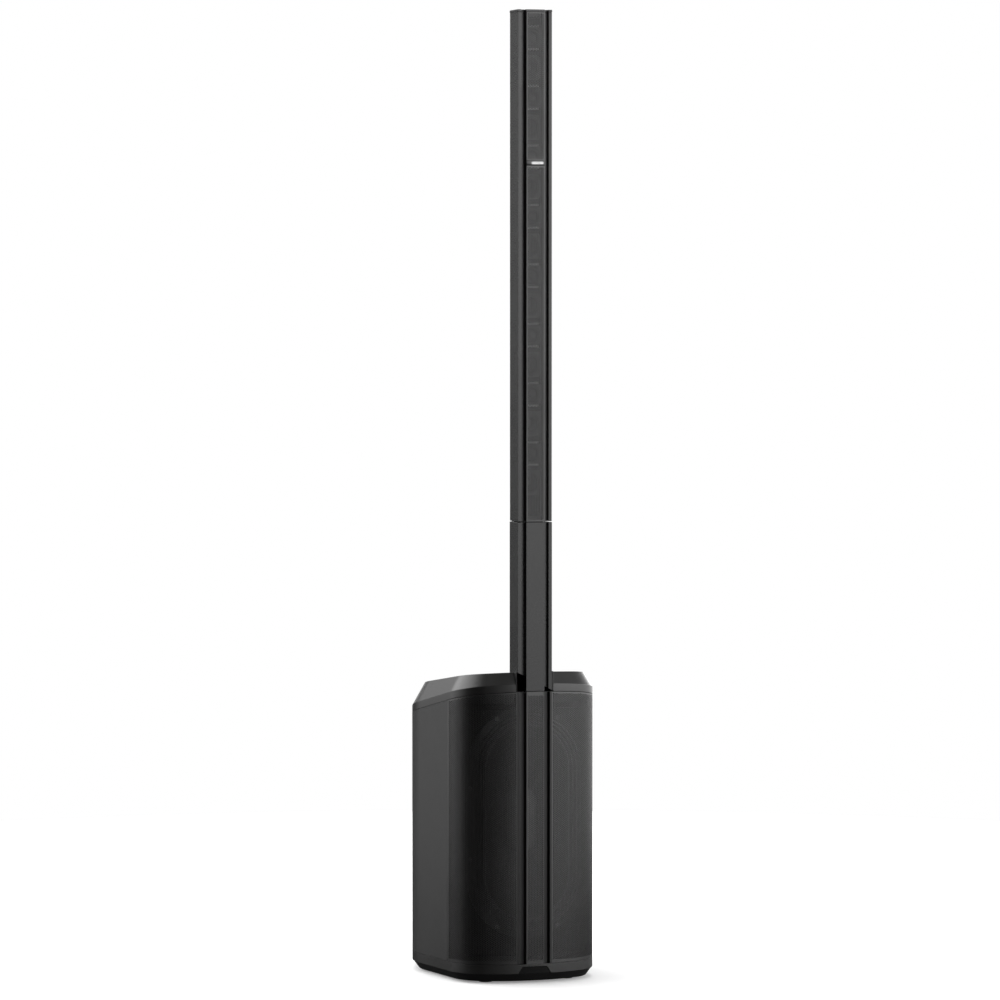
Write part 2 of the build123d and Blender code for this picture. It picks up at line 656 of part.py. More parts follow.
def spigot(half_gap, low, high):
    return block((-SPIGOT_HALF - half_gap, SPIGOT_HALF + half_gap),
                 (SPIGOT_FRONT - half_gap, SPIGOT_REAR + half_gap), (low, high))


def extension_body():
    """Riser: one hollow extrusion with the same strip and grooves as the array."""
    low, high = COLUMN_FOOT, SEAM_Z - 1.0
    tube = column_run(0.5, 0.0, low, high) + strip_block((0.0, GROOVE_Y + 1), low, high)
    tube -= column_run(0.5, COLUMN_WALL + 0.5, low - 1, high + 1)
    tube -= block((-STRIP_HALF + 2.2, STRIP_HALF - 2.2), (2.2, GROOVE_Y + 3.5), (low - 1, high + 1))
    return tube


def extension_insert(low, high):
    """Block that fills the riser's bore."""
    return column_run(0.5, COLUMN_WALL + 0.5 + GAP, low, high)


def extension_socket():
    top = SEAM_Z - 1.2
    body = extension_insert(ARRAY_SPIGOT_LOW - 6.0, top)
    return body - spigot(SPIGOT_GAP, ARRAY_SPIGOT_LOW - 2.0, top + 1)


def extension_plug():
    foot = COLUMN_FOOT
    return extension_insert(foot + 0.2, foot + 14.0) + spigot(0.0, BASE_SPIGOT_LOW, foot + 2.0)


def array_housing():
    """Extruded back of the array, open at the front behind the strip."""
    low, high = SEAM_Z + 0.6, HEIGHT - CAP_THICK - 0.2
    tube = column_run(0.0, 0.0, low, high) - column_run(0.0, COLUMN_WALL, low - 1, high + 1)
    return tube - block((-17.5, 17.5), (-1.0, GROOVE_Y + 6.0), (low - 1, high + 1))


def array_grille():
    low, high = SEAM_Z + 0.8, HEIGHT - CAP_THICK - 0.4
    channel = strip_block((0.0, GROOVE_Y - 0.1), low, high)
    return channel - block((-STRIP_HALF + 1.2, STRIP_HALF - 1.2), (1.2, 20.0), (low - 1, high + 1))


def array_top_cap():
    low, high = HEIGHT - CAP_THICK, HEIGHT
    cap = column_run(0.6, 0.0, low, high) + strip_block((0.0, GROOVE_Y + 1), low, high, 0.3)
    return cap + column_run(0.0, COLUMN_WALL + GAP, low - 9.0, low)


def array_plug():
    low = SEAM_Z + 0.6
    return column_run(0.0, COLUMN_WALL + GAP, low, low + 10.0) + spigot(0.0, ARRAY_SPIGOT_LOW, low + 1.0)


def array_driver(number):
    """Small full-range driver, turned to one side; the lowest ones also look down.

    It is drawn looking along +Z with its frame's front on z = 0, then turned into place.
    """
    side = -1 if number % 2 == 0 else 1
    z = DRIVER_TOP_Z - DRIVER_PITCH * number
    tilt = max(0, number - (DRIVER_COUNT - TILTED_DRIVERS) + 1) * TILT_STEP
    narrowing = 0.4 * tilt  # keeps a tilted frame clear of the array's side walls
    half = DRIVER_FRAME / 2
    mouth_r, bowl_r, bowl_low = half - 4.0, half - 8.2, -11.0
    plate = extrude(RectangleRounded(DRIVER_FRAME - narrowing, DRIVER_FRAME, 9.0), -2.0)
    plate -= Pos(0, 0, -1) * Cylinder(mouth_r, 6.0)
    roll = Pos(0, 0, -0.2) * Torus(half - 6.5, 2.2)
    bowl = Pos(0, 0, bowl_low / 2 - 0.6) * Cone(8.0, bowl_r, -bowl_low)
    bowl -= Pos(0, 0, bowl_low / 2 + 0.4) * Cone(7.2, bowl_r, -bowl_low)
    dome = Pos(0, 0, bowl_low - 2.6) * (Sphere(10.0) & Pos(0, 0, 10) * Box(20, 20, 9.0))
    basket = Pos(0, 0, -9.0) * (Cone(14.5, mouth_r, 14.0) - Cone(13.3, mouth_r - 1.2, 14.0))
    motor = Pos(0, 0, -21.0) * Cylinder(15.0, 10.0)
    unit = plate + basket + motor
    moving = roll + bowl + dome
    turned = Pos(0, DRIVER_Y, z) * Rot(0, 0, side * DRIVER_TURN) * Rot(90 + tilt, 0, 0)
    return [turned * shape for shape in (unit, moving - unit)]


def badge_plate():
    """Small blank plate across the strip, let into the mesh."""
    return block((-BADGE_HALF, BADGE_HALF), (0.0, 1.0), (BADGE_Z - BADGE_TALL / 2, BADGE_Z + BADGE_TALL / 2))


def main():
    save("cabinet_shell", cabinet_shell())
    save("front_baffle", front_baffle())
    save("bass_grille", bass_grille())
    save("top_lid", top_lid())
    save("carry_handle", carry_handle())
    save("bottom_trim_band", bottom_trim_band())
    save("base_skirt", base_skirt())
    save("rubber_feet", *rubber_feet())
    save("column_socket", column_socket())
    save("socket_contacts", *socket_contacts())
    save("woofer_basket", woofer_basket())
    save("woofer_magnet", woofer_magnet())
    save("woofer_surround", woofer_surround())
    save("woofer_spider", woofer_spider())
    save("woofer_cone", woofer_cone())
    save("voice_coil", voice_coil())
    save("woofer_screws", *woofer_screws())
    save("rear_panel", rear_panel())
    save("panel_screws", *panel_screws())
    save("amplifier_chassis", amplifier_chassis())
    save("heatsink", heatsink())
    save("mixer_board", mixer_board())
    save("power_supply", power_supply())
    save("mains_inlet", mains_inlet())
    for number, x in enumerate(COMBO_X, 1):
        save(f"combo_jack_{number}", combo_jack(x))
    save("channel_3_jacks", *channel_3_jacks())
    save("line_output_jack", line_output_jack())
    save("mixer_port", mixer_port())
    save("knob_light_rings", *knob_light_rings())
    for number, x in enumerate(reversed(KNOB_X), 1):
        save(f"channel_knob_{number}", channel_knob(x))
    for name, (x, z, radius) in BUTTONS.items():
        save(name, push_button(x, z, radius))
    save("extension_body", extension_body())
    save("extension_socket", extension_socket())
    save("extension_plug", extension_plug())
    save("array_housing", array_housing())
    save("array_grille", array_grille() - badge_plate())
    save("badge_plate", badge_plate())
    save("array_top_cap", array_top_cap())
    save("array_plug", array_plug())
    for number in range(DRIVER_COUNT):
        save(f"array_driver_{number + 1:02d}", *array_driver(number))


main()
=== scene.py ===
import json
from math import asin, cos, degrees, exp, hypot, pi, radians, sin, sqrt

import bmesh
import bpy
import numpy as np
from mathutils import Matrix, Vector

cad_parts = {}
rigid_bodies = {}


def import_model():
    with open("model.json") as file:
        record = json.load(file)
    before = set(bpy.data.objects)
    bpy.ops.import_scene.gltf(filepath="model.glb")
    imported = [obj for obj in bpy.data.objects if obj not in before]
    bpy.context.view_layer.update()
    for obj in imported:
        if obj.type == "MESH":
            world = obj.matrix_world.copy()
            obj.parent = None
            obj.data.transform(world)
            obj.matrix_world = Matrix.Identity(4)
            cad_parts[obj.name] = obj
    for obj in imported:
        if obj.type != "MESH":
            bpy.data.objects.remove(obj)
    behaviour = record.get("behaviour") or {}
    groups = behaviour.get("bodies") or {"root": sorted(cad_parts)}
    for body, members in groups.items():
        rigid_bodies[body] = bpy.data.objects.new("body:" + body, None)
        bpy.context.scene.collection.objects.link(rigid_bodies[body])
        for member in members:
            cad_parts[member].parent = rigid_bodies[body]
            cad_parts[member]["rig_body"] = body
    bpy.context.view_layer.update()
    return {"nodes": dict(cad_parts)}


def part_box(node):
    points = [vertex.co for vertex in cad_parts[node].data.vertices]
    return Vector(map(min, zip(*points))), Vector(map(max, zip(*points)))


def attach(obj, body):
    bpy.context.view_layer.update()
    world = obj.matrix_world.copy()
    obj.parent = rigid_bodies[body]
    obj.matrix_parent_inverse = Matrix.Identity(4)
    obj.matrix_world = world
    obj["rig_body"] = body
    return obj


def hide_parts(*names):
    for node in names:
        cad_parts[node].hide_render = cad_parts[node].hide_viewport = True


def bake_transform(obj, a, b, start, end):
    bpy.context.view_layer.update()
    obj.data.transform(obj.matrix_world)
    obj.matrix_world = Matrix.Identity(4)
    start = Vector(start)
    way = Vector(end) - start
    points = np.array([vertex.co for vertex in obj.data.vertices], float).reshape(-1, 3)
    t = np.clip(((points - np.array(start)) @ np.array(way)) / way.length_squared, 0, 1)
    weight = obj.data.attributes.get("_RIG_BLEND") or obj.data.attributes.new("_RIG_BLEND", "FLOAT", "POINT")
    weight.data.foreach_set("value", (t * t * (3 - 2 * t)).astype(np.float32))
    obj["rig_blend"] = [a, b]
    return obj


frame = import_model()
nodes = frame["nodes"]
scene = bpy.context.scene
FINISH = {}

# Sizes are millimetres, measured like the CAD part: x from the middle, y from the front plane of
# the strip towards the rear, z from the floor. at() turns such a place into the row frame.
MM = 0.001
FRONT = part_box("bass_grille")[0].y
GRILLE_FOOT, GRILLE_TOP = (corner.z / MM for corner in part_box("bass_grille"))

# camera, fitted to the photo's outline, in metres and millimetres of lens
CAMERA_PLACE = (-3.331, -9.902, 1.433)
CAMERA_AIM = (-0.0689, -0.203, 1.002)
CAMERA_LENS = 178.7

# plan outline of the base
FRONT_GAP = 1.5
FRONT_R = 270.5
CORNER_R = 90.0
CORNER_MIDDLE = (67.046, 104.414)
CORNER_START = -68.195
SIDE_FLARE = 7.9  # degrees, towards the rear
SHELL_SLOPE = 0.21  # fall of the housing's top edge for each millimetre towards the rear
SKIRT_TOP = 20.0

# grille
GRILLE_THICK = 1.6
ARRAY_MESH_THICK = 1.2
ARRAY_BEND = 0.9
GRILLE_END = 103.0
STRIP_HALF = 20.0
PANEL_HALF = 18.4  # half the perforated face of a strip
GROOVE_Y = 12.0
CHANNEL_HALF = 30.6
CHANNEL_BEND = 0.55
LIP_Y = 9.75  # where the channel's outer wall folds towards the wing
LIP_HALF = 33.0
LIP_TIP_Y = 3.5
WING_LEAD_Y = 4.2
WING_START = 38.0
WING_ANGLE = degrees(asin(WING_START / FRONT_R)) - 90.0
FRONT_ARC = radians(CORNER_START - WING_ANGLE) * FRONT_R
CORNER_ARC = radians(-SIDE_FLARE - CORNER_START) * CORNER_R
HOLE_PITCH = 4.0
HOLE_R = 1.55
PLAIN_TOP = 5.0  # height of the plain rim below the sloping top edge

# woofer: half length and half width of its racetrack outlines, inner and outer radius of the spider
WOOFER_Z = 330.0
SURROUND = (228.0, 117.0)
SURROUND_Y = (45.6, 51.2)
SURROUND_ROLLS = 3.5
CONE_RIM = (200.0, 89.0)
CONE_Y = (50.6, 97.0)
CONE_THICK = 1.6
SURROUND_WIDTH = SURROUND[0] - CONE_RIM[0]
CAP_RIM = (68.5, 35.0)
SPIDER = (36.8, 61.8)
SPIDER_Y = 112.8
SPIDER_WAVE = 1.5
SPIDER_WAVES = 5

# small drivers, numbered from the top
DRIVERS = 16
DRIVER_TOP_Z = 1954.0
DRIVER_PITCH = 61.2
DRIVER_Y = 27.0
DRIVER_FRAME = 52.0
DRIVER_CORNER = 9.0
DOME_R = 8.6
DRIVER_TURN = 24.0
TILTED_DRIVERS = 6
TILT_STEP = 1.6

# badge: rounding of the plate, and size, rounding and shift to the right of the bar
PLATE_ROUND = 0.35
BAR_SIZE = (26.0, 0.5, 5.4)
BAR_ROUND = 2.4
BAR_SHIFT = 4.5

# rear panel
PANEL_FACE = 433.0
MARK_THICK = 0.25
BAR_Z = (402.0, 306.0, 262.0)
BAR_HALF = 66.0
TICKS = 11
TICK_START = 150
TICK_STEP = 30
TICK_REACH = (18.6, 21.0)
LAMP_Z = 409.0
KNOB_X = (48.0, 0.0, -48.0)
KNOB_Z = 436.0
KNOB_SEGMENTS = 144
KNOB_FLUTES = 18
POINTER_Y = (446.6, 447.5)
POINTER_REACH = (4.5, 10.6)
POINTER_HALF = 0.6
# radius, distance from the front and depth of the flutes
KNOB_PROFILE = ((3.0, 414.0, 0.0), (3.0, 433.6, 0.0), (12.3, 433.6, 0.0), (12.45, 433.9, 0.0),
                (12.45, 435.2, 0.0), (12.2, 435.8, 0.0), (11.9, 436.2, 0.9), (11.5, 445.6, 0.8),
                (11.1, 446.8, 0.4), (10.4, 447.3, 0.0), (9.6, 447.4, 0.0), (9.0, 447.1, 0.0),
                (8.4, 446.9, 0.0), (0.3, 446.8, 0.0))

# size of a finish's broad patches, and length and width of the scuffs on its edges
PATCH = 70.0
SCUFF_SIZE = 9.0
SCUFF_WIDTH = 1.2

# studio
FLOOR_R = 3.2  # metres
FLOOR_PALE = 0.7
FLOOR_GLOW = 0.25
FLOOR_BOUNCE = 0.03
ROOM_LIGHT = 8.8
# light of the room's walls and of the zone above them, by bearing and by height in degrees
WALL_LIGHT = ((180, 0.02), (162, 0.02), (152, 0.11), (143, 0.34), (120, 0.4), (100, 0.26),
              (85, 0.03), (60, 0.006), (35, 0.006), (20, 0.02), (5, 0.14), (-10, 0.44), (-25, 0.68),
              (-45, 0.74), (-65, 0.66), (-100, 0.48), (-150, 0.54), (-172, 0.2))
WALL_HEIGHT = ((-90, 0.0), (-25, 0.005), (-12, 0.03), (-7, 0.12), (-3, 0.5), (0, 0.82), (3, 1.0),
               (8, 1.0), (12, 0.5), (18, 0.2), (28, 0.08), (45, 0.0))
HIGH_LIGHT = ((170, 0.28), (143, 0.48), (105, 0.46), (85, 0.2), (60, 0.02), (20, 0.012), (0, 0.018),
              (-15, 0.09), (-40, 0.16), (-60, 0.08), (-100, 0.04), (-150, 0.08))
HIGH_HEIGHT = ((-90, 0.0), (12, 0.0), (22, 0.9), (60, 0.9), (80, 0.3), (90, 0.3))


def at(x, y, z):
    """A place in the row frame, in metres."""
    return Vector((x * MM, FRONT + y * MM, z * MM))


# ------------------------------------------------------------------ camera

def camera():
    data = bpy.data.cameras.new("camera")
    data.sensor_width = 36.0
    data.lens = CAMERA_LENS
    data.clip_end = 60.0
    view = bpy.data.objects.new("camera", data)
    view.location = CAMERA_PLACE
    aim = Vector(CAMERA_AIM) - view.location
    view.rotation_euler = aim.to_track_quat("-Z", "Y").to_euler()
    scene.collection.objects.link(view)
    scene.camera = view


# ------------------------------------------------------------------ materials

# sockets of a Mix node that mixes colours
MIX_A, MIX_B, MIX_RESULT = 6, 7, 2


def node(tree, kind, **settings):
    """A shader node, with properties and socket values set by name."""
    made = tree.nodes.new(kind)
    for key, value in settings.items():
        if hasattr(made, key):
            setattr(made, key, value)
        else:
            made.inputs[key.replace("_", " ")].default_value = value
    return made


def noise(tree, size, detail=3.0, stretch=(1.0, 1.0, 1.0)):
    """Noise in object space with features of the given size in millimetres."""
    place = node(tree, "ShaderNodeTexCoord")
    mapping = node(tree, "ShaderNodeMapping", Scale=stretch)
    texture = node(tree, "ShaderNodeTexNoise", Scale=1 / (size * MM), Detail=detail)
    tree.links.new(place.outputs["Object"], mapping.inputs["Vector"])
    tree.links.new(mapping.outputs["Vector"], texture.inputs["Vector"])
    return texture.outputs["Fac"]


def cells(tree, size):
    """Rounded pebbles, like the texture of a moulding tool."""
    place = node(tree, "ShaderNodeTexCoord")
    texture = node(tree, "ShaderNodeTexVoronoi", feature="SMOOTH_F1", Scale=1 / (size * MM))
    tree.links.new(place.outputs["Object"], texture.inputs["Vector"])
    return texture.outputs["Distance"]


def spread(tree, value, low, high):
    """Maps a texture's middle range onto low to high."""
    ranged = node(tree, "ShaderNodeMapRange", From_Min=0.3, From_Max=0.7, To_Min=low, To_Max=high)
    tree.links.new(value, ranged.inputs["Value"])
    return ranged.outputs["Result"]


def product(tree, first, second):
    both = node(tree, "ShaderNodeMath", operation="MULTIPLY")
    tree.links.new(first, both.inputs[0])
    tree.links.new(second, both.inputs[1])
    return both.outputs[0]


def mixed(tree, factor, first, second):
    """A colour between two others."""
    mix = node(tree, "ShaderNodeMix", data_type="RGBA")
    tree.links.new(factor, mix.inputs["Factor"])
    mix.inputs[MIX_A].default_value = (*first, 1.0)
    mix.inputs[MIX_B].default_value = (*second, 1.0)
    return mix.outputs[MIX_RESULT]


def worn_edges(tree, radius):
    """0 on flat stretches, towards 1 within radius of a convex or concave edge."""
    here = node(tree, "ShaderNodeNewGeometry")
    round_edge = node(tree, "ShaderNodeBevel", samples=4, Radius=radius * MM)
    dot = node(tree, "ShaderNodeVectorMath", operation="DOT_PRODUCT")
    tree.links.new(here.outputs["Normal"], dot.inputs[0])
    tree.links.new(round_edge.outputs["Normal"], dot.inputs[1])
    ranged = node(tree, "ShaderNodeMapRange", From_Min=0.98, From_Max=0.8, To_Min=0.0, To_Max=1.0)
    tree.links.new(dot.outputs["Value"], ranged.inputs["Value"])
    return ranged.outputs["Result"]


def finish(name, colour, other, rough, grain, height, metal=0.0, pebbles=False,
           stretch=(1.0, 1.0, 1.0), edge=None, rim=0.0, **sockets):
    """Makes one procedural material and keeps it in FINISH.

    colour, other   base colours that broad patches vary between
    rough           lowest and highest roughness
    grain, height   size and height of the fine surface texture, in millimetres
    pebbles         rounded cells for that texture instead of noise
    stretch         how the texture's grain is scaled along x, y and z
    edge            lighter colour of handled edges, if any
    rim             radius that small edges seem rounded with
    sockets         plain values for the shader's own sockets
    """
    material = bpy.data.materials.new(name)
    material.use_nodes = True
    tree = material.node_tree
    shader = tree.nodes["Principled BSDF"]
    shader.inputs["Metallic"].default_value = metal
    for key, value in sockets.items():
        shader.inputs[key.replace("_", " ")].default_value = value
    broad = noise(tree, PATCH, 5.0)
    fine = noise(tree, grain, 2.0, stretch)
    base = mixed(tree, spread(tree, broad, 0.0, 1.0), colour, other)
    if edge:
        over = node(tree, "ShaderNodeMix", data_type="RGBA")
        broken = spread(tree, noise(tree, SCUFF_SIZE), 0.0, 1.0)
        scuffs = product(tree, worn_edges(tree, SCUFF_WIDTH), broken)
        tree.links.new(scuffs, over.inputs["Factor"])
        tree.links.new(base, over.inputs[MIX_A])
        over.inputs[MIX_B].default_value = (*edge, 1.0)
        base = over.outputs[MIX_RESULT]
    tree.links.new(base, shader.inputs["Base Color"])
    middle = node(tree, "ShaderNodeMath", operation="ADD")
    tree.links.new(spread(tree, broad, rough[0] / 2, rough[1] / 2), middle.inputs[0])
    tree.links.new(spread(tree, fine, rough[0] / 2, rough[1] / 2), middle.inputs[1])
    tree.links.new(middle.outputs[0], shader.inputs["Roughness"])
    bump = node(tree, "ShaderNodeBump", Strength=1.0, Distance=height * MM)
    tree.links.new(cells(tree, grain) if pebbles else fine, bump.inputs["Height"])
    if rim:
        round_edge = node(tree, "ShaderNodeBevel", samples=4, Radius=rim * MM)
        tree.links.new(round_edge.outputs["Normal"], bump.inputs["Normal"])
    tree.links.new(bump.outputs["Normal"], shader.inputs["Normal"])
    FINISH[name] = material


def grey(value, warm=0.0):
    """A grey, with a share more red and less blue if warm."""
    return (value * (1 + warm), value, value * (1 - warm))


def slot_finishes():
    """One finish per material slot of the record."""
    finish("housing_plastic", grey(0.004), grey(0.006), (0.40, 0.50), 0.9, 0.10, pebbles=True,
           edge=grey(0.05))
    finish("lid_plastic", grey(0.004, 0.04), grey(0.005, 0.04), (0.28, 0.36), 0.6, 0.02,
           edge=grey(0.05), IOR=1.55)
    finish("skirt_plastic", grey(0.004), grey(0.006), (0.50, 0.62), 1.0, 0.08, pebbles=True)
    finish("grille_steel", grey(0.004), grey(0.006), (0.30, 0.38), 0.35, 0.012, IOR=1.6)
    finish("foot_rubber", grey(0.012), grey(0.02), (0.7, 0.85), 0.5, 0.05)
    finish("baffle_board", grey(0.007), grey(0.011), (0.6, 0.8), 3.0, 0.15, stretch=(1.0, 1.0, 0.1))
    finish("column_shell", grey(0.004), grey(0.006), (0.24, 0.32), 0.5, 0.012,
           stretch=(1.0, 1.0, 0.15), edge=grey(0.06), IOR=1.45)
    finish("connector_plastic", grey(0.012), grey(0.018), (0.42, 0.55), 0.8, 0.03, rim=0.3)
    finish("jack_metal", grey(0.16), grey(0.24), (0.28, 0.4), 0.4, 0.01, metal=1.0, rim=0.3)
    finish("contact_brass", (0.72, 0.50, 0.18), (0.62, 0.42, 0.15), (0.2, 0.35), 0.5, 0.01,
           metal=1.0)
    finish("badge_black", grey(0.006), grey(0.009), (0.12, 0.2), 0.6, 0.004, rim=0.3)
    finish("driver_steel", grey(0.10), grey(0.14), (0.22, 0.34), 0.8, 0.015, rim=0.3)
    finish("basket_steel", grey(0.02), grey(0.03), (0.35, 0.5), 0.8, 0.02)
    finish("motor_steel", grey(0.38), grey(0.5), (0.3, 0.45), 0.8, 0.01, metal=1.0)
    # partly painted sheen: the grey is lighter than the black rubber, so that the rolls show as bright arcs
    # behind the grille
    finish("surround_rubber", grey(0.10), grey(0.13), (0.18, 0.28), 0.7, 0.02)
    finish("spider_cloth", (0.32, 0.2, 0.08), (0.26, 0.16, 0.06), (0.8, 0.95), 0.6, 0.15)
    finish("cone_paper", grey(0.03), grey(0.045), (0.4, 0.55), 1.4, 0.10, stretch=(0.35, 1.0, 1.0))
    finish("coil_copper", (0.72, 0.30, 0.16), (0.6, 0.24, 0.12), (0.25, 0.4), 0.5, 0.05, metal=1.0,
           stretch=(0.1, 1.0, 0.1))
    finish("screw_steel", grey(0.10), grey(0.16), (0.3, 0.42), 0.3, 0.01, metal=1.0, rim=0.25)
    finish("chassis_steel", grey(0.5), grey(0.6), (0.3, 0.45), 1.0, 0.01, metal=1.0)
    finish("heatsink_aluminium", grey(0.018), grey(0.028), (0.35, 0.5), 0.5, 0.02,
           stretch=(1.0, 1.0, 0.1), edge=grey(0.09))
    finish("board_laminate", (0.012, 0.055, 0.02), (0.016, 0.07, 0.026), (0.35, 0.5), 1.2, 0.03)
    finish("ring_light", (0.55, 0.6, 0.58), (0.62, 0.66, 0.64), (0.25, 0.35), 0.6, 0.01, rim=0.2)
    finish("knob_rubber", grey(0.016), grey(0.024), (0.5, 0.64), 0.5, 0.03)
    finish("button_plastic", grey(0.02), grey(0.03), (0.34, 0.46), 0.5, 0.015, rim=0.3)


def other_finishes():
    """Looks that a piece is shown in instead of its slot's own, or beside it."""
    finish("trim_plastic", grey(0.004, 0.04), grey(0.005, 0.04), (0.34, 0.44), 0.6, 0.02, IOR=1.5)
    # painted shade: a darker, less glossy copy of the skirt plastic for the faces seen through the trim
    # band's notch
    finish("notch_painted_shade", grey(0.003), grey(0.004), (0.50, 0.62), 1.0, 0.04, IOR=1.2)
    # painted shade: a darker, less glossy copy of the grille steel for the channels, standing in for the
    # shade in the grooves
    finish("channel_painted_shade", grey(0.003), grey(0.004), (0.34, 0.42), 0.35, 0.012, IOR=1.4)
    finish("plain_silver", grey(0.3), grey(0.36), (0.24, 0.34), 0.4, 0.004, metal=1.0)
    # painted highlight: pale finish for the slabs that stand in for glints on the driver rims
    finish("painted_rim_highlight", grey(0.6), grey(0.7), (0.4, 0.5), 0.6, 0.01)
    finish("mark_white", grey(0.55), grey(0.62), (0.5, 0.6), 0.4, 0.004)
    finish("lens_green", (0.05, 0.22, 0.09), (0.06, 0.26, 0.1), (0.15, 0.22), 0.8, 0.004)


# ------------------------------------------------------------------ mesh tools

def bm_from(points, faces):
    """A bmesh of points and of faces that list points by number."""
    bm = bmesh.new()
    made = [bm.verts.new(p) for p in points]
    for face in faces:
        bm.faces.new([made[n] for n in face])
    return bm


def piece(bm, name, body, slot, *stands_for, extra=(), smooth=35.0, tidy=True):
    """Turns a bmesh into a piece with a finish that rides on a body and may replace CAD nodes."""
    if tidy:
        bmesh.ops.remove_doubles(bm, verts=bm.verts, dist=1e-6)
        bmesh.ops.recalc_face_normals(bm, faces=bm.faces)
    mesh = bpy.data.meshes.new(name)
    bm.to_mesh(mesh)
    bm.free()
    mesh.shade_smooth()
    mesh.set_sharp_from_angle(angle=radians(smooth))
    made = bpy.data.objects.new(name, mesh)
    scene.collection.objects.link(made)
    for material in (FINISH[slot], *(FINISH[more] for more in extra)):
        mesh.materials.append(material)
    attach(made, body)
    if stands_for:
        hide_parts(*stands_for)
    return made


def body_of_node(name):
    return nodes[name]["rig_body"]


def slot_of_node(name):
    return nodes[name].data.materials[0].name.split(".")[0]


def apply_modifiers(made):
    """Replaces an object's mesh by the result of its modifiers."""
    graph = bpy.context.evaluated_depsgraph_get()
    applied = bpy.data.meshes.new_from_object(made.evaluated_get(graph))
    made.modifiers.clear()
    plain = made.data
    made.data = applied
    bpy.data.meshes.remove(plain)
    applied.name = made.name


def rounded_copy(source, width, segments=2, angle=28.0, smooth=32.0):
    """A CAD node's mesh with the edges sharper than angle rounded over and flat faces kept flat."""
    bm = bmesh.new()
    bm.from_mesh(nodes[source].data)
    bmesh.ops.remove_doubles(bm, verts=bm.verts, dist=2e-6)
    bmesh.ops.dissolve_limit(bm, angle_limit=radians(0.6), verts=bm.verts, edges=bm.edges)
    sharp = [edge for edge in bm.edges
             if edge.is_manifold and edge.calc_face_angle() > radians(angle)]
    bmesh.ops.bevel(bm, geom=sharp, offset=width * MM, segments=segments, profile=0.5,
                    affect="EDGES", clamp_overlap=True)
    made = piece(bm, f"{source}_rounded", body_of_node(source), slot_of_node(source), source,
                 smooth=smooth, tidy=False)
    made.modifiers.new("flat faces", "WEIGHTED_NORMAL").keep_sharp = True
    apply_modifiers(made)
    return made


def fillet_path(points, radius, steps=4):
    """An open path in plan with each inner corner rounded."""
    path = [Vector(points[0])]
    for before, corner, after in zip(points, points[1:], points[2:]):
        corner = Vector(corner)
        into = (Vector(before) - corner).normalized()
        out = (Vector(after) - corner).normalized()
        half = into.angle(out) / 2
        reach = radius / max(sin(half) / cos(half), 1e-6)
        middle = corner + (into + out).normalized() * (radius / sin(half))
        start, end = corner + into * reach, corner + out * reach
        for step in range(steps + 1):
            spot = start.lerp(end, step / steps)
            path.append(middle + (spot - middle).normalized() * radius)
    path.append(Vector(points[-1]))
    return path


def folded_sheet(path, thick, low, high_at):
    """A folded sheet standing on z = low.

    path is its outer face in plan, with the sheet on its left. high_at gives the height of the top
    edge at a distance y from the front.
    """
    inner = []
    for n, spot in enumerate(path):
        before = path[max(n - 1, 0)]
        after = path[min(n + 1, len(path) - 1)]
        way = (after - before).normalized()
        one = (spot - before).normalized() if n else way
        lean = max(abs(way.dot(one)), 0.5)
        inner.append(spot + Vector((-way.y, way.x)) * thick / lean)
    points, faces = [], []
    for outer_spot, inner_spot in zip(path, inner):
        points.append(at(*outer_spot, low))
        points.append(at(*outer_spot, high_at(outer_spot.y)))
        points.append(at(*inner_spot, high_at(inner_spot.y)))
        points.append(at(*inner_spot, low))
    for n in range(len(path) - 1):
        a, b = 4 * n, 4 * n + 4
        faces += [(a + k, b + k, b + (k + 1) % 4, a + (k + 1) % 4) for k in range(4)]
    last = 4 * (len(path) - 1)
    return bm_from(points, faces + [(0, 1, 2, 3), (last, last + 3, last + 2, last + 1)])


def mirrored(bm):
    """Adds the same geometry on the other side of x = 0."""
    extra = bmesh.ops.duplicate(bm, geom=bm.faces[:] + bm.edges[:] + bm.verts[:])["geom"]
    for item in extra:
        if isinstance(item, bmesh.types.BMVert):
            item.co.x = -item.co.x
    turned = [item for item in extra if isinstance(item, bmesh.types.BMFace)]
    bmesh.ops.reverse_faces(bm, faces=turned)
    return bm


def ring_faces(rings, count):
    """Faces between neighbours in a stack of rings with count points each."""
    faces = []
    for ring in range(rings - 1):
        for n in range(count):
            a, b = ring * count + n, ring * count + (n + 1) % count
            faces.append((a, b, b + count, a + count))
    return faces


def lathe(profile, middle, axis_turn, count=48):
    """Turns a profile of (radius, depth) pairs round an axis; depth runs along the turned +Z."""
    points = []
    for radius, depth in profile:
        for n in range(count):
            turn = 2 * pi * n / count
            spot = Vector((radius * cos(turn), radius * sin(turn), depth))
            points.append(middle + axis_turn @ spot * MM)
    return points, ring_faces(len(profile), count)


def skin(profile, thick):
    """Closed profile of a thin skin: along one face and back along the other, thick further on."""
    return profile + [(*spot[:-1], spot[-1] + thick) for spot in reversed(profile)] + profile[:1]


def slab(bm, low, high, material=0, turn=None, pivot=None):
    """Adds a box between two corners, turned about a pivot if asked."""
    corners = [bm.verts.new((x, y, z))
               for x in (low.x, high.x) for y in (low.y, high.y) for z in (low.z, high.z)]
    sides = ((0, 1, 3, 2), (4, 6, 7, 5), (0, 4, 5, 1), (2, 3, 7, 6), (0, 2, 6, 4), (1, 5, 7, 3))
    for side in sides:
        bm.faces.new([corners[n] for n in side]).material_index = material
    if turn is not None:
        bmesh.ops.rotate(bm, verts=corners, cent=pivot, matrix=turn)


def cut(bm, spot, away):
    """Removes what lies past a plane, on the side that away points to."""
    bmesh.ops.bisect_plane(bm, geom=bm.verts[:] + bm.edges[:] + bm.faces[:], dist=1e-7,
                           plane_co=spot, plane_no=away, clear_outer=True)


# ------------------------------------------------------------------ perforated sheets

